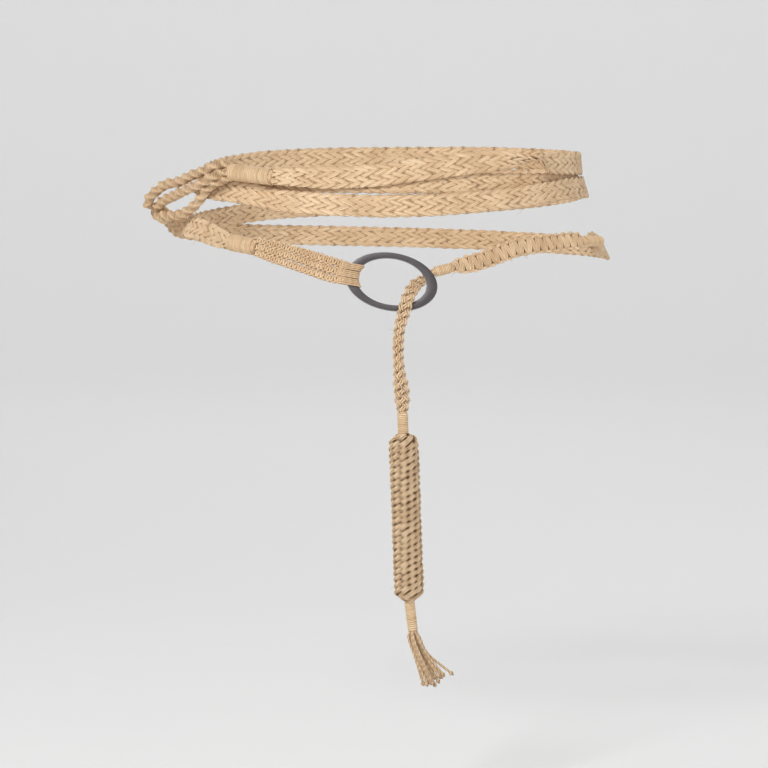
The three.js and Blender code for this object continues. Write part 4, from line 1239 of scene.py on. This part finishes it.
def spiralLines(route, rng):
    turns = route["total"] / (spiral["thread"] * mm)
    count = int(turns * 16)
    turn = np.linspace(0.3, turns - 0.3, count)
    s = turn * spiral["thread"] * mm
    angle = 2 * np.pi * turn
    twist = np.pi * s / (spiral["halfTurn"] * mm)
    width = onRoute(route, s)["width"]
    uneven = 1 + wander(rng, count, 7, 0.05)
    radius = (spiralRadius(angle - twist) - spiral["thread"] / 2) * width * mm * uneven
    at, points = offsetLine(route, s, radius * np.cos(angle), radius * np.sin(angle))
    facing = at["across"] * np.cos(angle)[:, None] + at["out"] * np.sin(angle)[:, None]
    nearRidge = np.abs(np.cos(angle - twist))
    size = 1.0 + wander(rng, count, 16, 0.08)
    tone = wander(rng, count, 16, 0.6)
    # Painted shade in the grooves, away from the ridges
    lines = [cordLine(points, facing, size, tone, 0.4 * (1 - nearRidge))]
    for side in (0, np.pi):
        s = np.linspace(0, route["total"], int(route["total"] / (0.8 * mm)))
        angle = np.pi * s / (spiral["halfTurn"] * mm) + side
        width = onRoute(route, s)["width"]
        bumps = 2 * np.pi * s / (spiral["bump"] * mm)
        swell = 0.2 * np.sin(bumps)
        radius = (spiral["long"] - spiral["ridge"] * 0.5 + swell) * width * mm
        at, points = offsetLine(route, s, radius * np.cos(angle), radius * np.sin(angle))
        facing = at["across"] * np.cos(angle)[:, None] + at["out"] * np.sin(angle)[:, None]
        size = spiral["ridge"] / spiral["thread"] * (1 + 0.16 * np.sin(bumps + 1)) * width
        lines.append(cordLine(points, facing, size, rng.uniform(-0.2, 0.8), 0.0))
    return lines


for i, (name, (node, rows)) in enumerate(spiralRoutes.items()):
    route = longerRoute(turnRoute(rows), 1.2)
    rng = np.random.default_rng(spiral["seed"] + i)
    addPiece(name, [
        sweepCords(name, spiralLines(route, rng), jute, spiral["thread"] * mm, sides=6, creaseShade=0.85),
        coreMesh(name, route, *spiral["core"]),
    ], node)
print("spiral sennits built")


# Flat oval ring, its edges rounded over
def addRing():
    half, bevel = ring["thick"] / 2, ring["bevel"]
    corner = []
    for a in np.linspace(0, math.pi / 2, 4):
        corner.append((bevel * (1 - math.cos(a)), half - bevel + bevel * math.sin(a)))
    profile = [(inset, out, 0) for inset, out in corner]
    profile += [(inset, out, 1) for inset, out in reversed(corner)]
    profile += [(inset, -out, end) for inset, out, end in reversed(profile)]
    vertices, wearAndHighlight = [], []
    for i in range(ring["turns"]):
        a = 2 * math.pi * i / ring["turns"]
        outer = np.array([ring["length"] / 2 * math.cos(a), ring["height"] / 2 * math.sin(a)])
        inner = np.array([(ring["length"] / 2 - ring["endBand"]) * math.cos(a),
                          (ring["height"] / 2 - ring["sideBand"]) * math.sin(a)])
        band = np.linalg.norm(inner - outer)
        for inset, out, end in profile:
            share = inset / band if end == 0 else 1 - inset / band
            place = outer + (inner - outer) * share
            vertices.append(tuple(onRing(place[0], place[1], out)))
            # The bevelled edges are marked for the painted edge highlight, partly edge wear
            wearAndHighlight.append(1.0 if inset < bevel * 0.9 else 0.0)
    n = len(profile)
    faces = []
    for i in range(ring["turns"]):
        j = (i + 1) % ring["turns"]
        faces += [(i * n + k, i * n + (k + 1) % n, j * n + (k + 1) % n, j * n + k) for k in range(n)]
    mesh = bpy.data.meshes.new("ringPlate")
    mesh.from_pydata(vertices, [], faces)
    mesh.attributes.new("edgeWearAndHighlight", "FLOAT", "POINT").data.foreach_set("value", wearAndHighlight)
    mesh.materials.append(satinMetal)
    mesh.shade_smooth()
    mesh.set_sharp_from_angle(angle=math.radians(20))
    return addPiece("ringPlate", [mesh], "buckle_ring")


addRing()
print("ring built")

# Stray fibres on the knotted and braided pieces
strayFibre = {"density": 2600.0, "length": 4.6, "thickness": 0.075, "seed": 5}


def addFibres():
    meshes = []
    hairy = [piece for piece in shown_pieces() if piece.name != "ringPlate" and "whipping" not in piece.name]
    for number, piece in enumerate(hairy):
        if "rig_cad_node" not in piece:
            meshes.append(grown("strayFibres", piece.data.copy(), fibreTree, {
                "Density": strayFibre["density"], "Length": strayFibre["length"] * mm,
                "Thickness": strayFibre["thickness"] * mm, "Seed": strayFibre["seed"] + number,
                "Material": looseFibre,
            }))
    return addPiece("strayFibres", meshes)


addFibres()
print("stray fibres built")

# Plain pale round floor that curves up to a wall on every side, and soft studio light
studio = {
    "floor": -0.42, "reach": 5.2, "bend": 1.4, "wall": 3.2, "sides": 64, "paper": (0.8, 0.8, 0.8, 1),
    "glow": 0.15, "daylight": 0.28,
}
softLights = {  # place, size and power
    "keyLight": ((-0.9, -2.1, 1.5), 0.7, 38), "fillLight": ((1.6, -2.1, 0.3), 1.5, 7),
    "backLight": ((0.5, 1.3, 1.6), 1.2, 10),
}
wallLight = {"out": 2.5, "height": 1.9, "size": 1.6, "power": 14, "aim": 0.1}


def addStage():
    inner = studio["reach"] - studio["bend"]
    profile = [(inner * share, studio["floor"]) for share in (0.3, 0.6, 1)]
    for a in np.linspace(0, math.pi / 2, 13)[1:]:
        rise = studio["bend"] * (1 - math.cos(a))
        profile.append((inner + studio["bend"] * math.sin(a), studio["floor"] + rise))
    profile.append((studio["reach"], studio["wall"]))
    vertices, faces = [(0, 0, studio["floor"])], []
    for radius, height in profile:
        for a in np.linspace(0, 2 * math.pi, studio["sides"], endpoint=False):
            vertices.append((radius * math.cos(a), radius * math.sin(a), height))
    for k in range(studio["sides"]):
        j = (k + 1) % studio["sides"]
        faces.append((0, 1 + k, 1 + j))
        for i in range(len(profile) - 1):
            low, high = 1 + i * studio["sides"], 1 + (i + 1) * studio["sides"]
            faces.append((low + k, high + k, high + j, low + j))
    mesh = bpy.data.meshes.new("backdrop")
    mesh.from_pydata(vertices, [], faces)
    mesh.shade_smooth()
    material, tree, shader = newMaterial("palePaper")
    shader.inputs["Base Color"].default_value = studio["paper"]
    shader.inputs["Roughness"].default_value = 0.9
    shader.inputs["Emission Color"].default_value = (1, 1, 1, 1)
    shader.inputs["Emission Strength"].default_value = studio["glow"]
    mesh.materials.append(material)
    backdrop = bpy.data.objects.new("backdrop", mesh)
    bpy.context.collection.objects.link(backdrop)


def addLight(name, place, size, power, target=(0, 0, -0.12)):
    data = bpy.data.lights.new(name, "AREA")
    data.size = size
    data.energy = power
    holder = bpy.data.objects.new(name, data)
    holder.location = place
    holder.rotation_euler = (Vector(target) - Vector(place)).to_track_quat("-Z", "Y").to_euler()
    bpy.context.collection.objects.link(holder)


addStage()
for name, values in softLights.items():
    addLight(name, *values)
for side in range(4):
    outward = np.array([math.sin(side * math.pi / 2), math.cos(side * math.pi / 2)])
    place = (*(outward * wallLight["out"]), wallLight["height"])
    target = (*(outward * studio["reach"]), wallLight["aim"])
    addLight(f"wallLight{side}", place, wallLight["size"], wallLight["power"], target)
world = bpy.data.worlds.new("studio")
bpy.context.scene.world = world
world.use_nodes = True
world.node_tree.nodes["Background"].inputs["Color"].default_value = (1, 1, 1, 1)
world.node_tree.nodes["Background"].inputs["Strength"].default_value = studio["daylight"]
bpy.context.scene.view_settings.view_transform = "Standard"
print("stage and lights built")
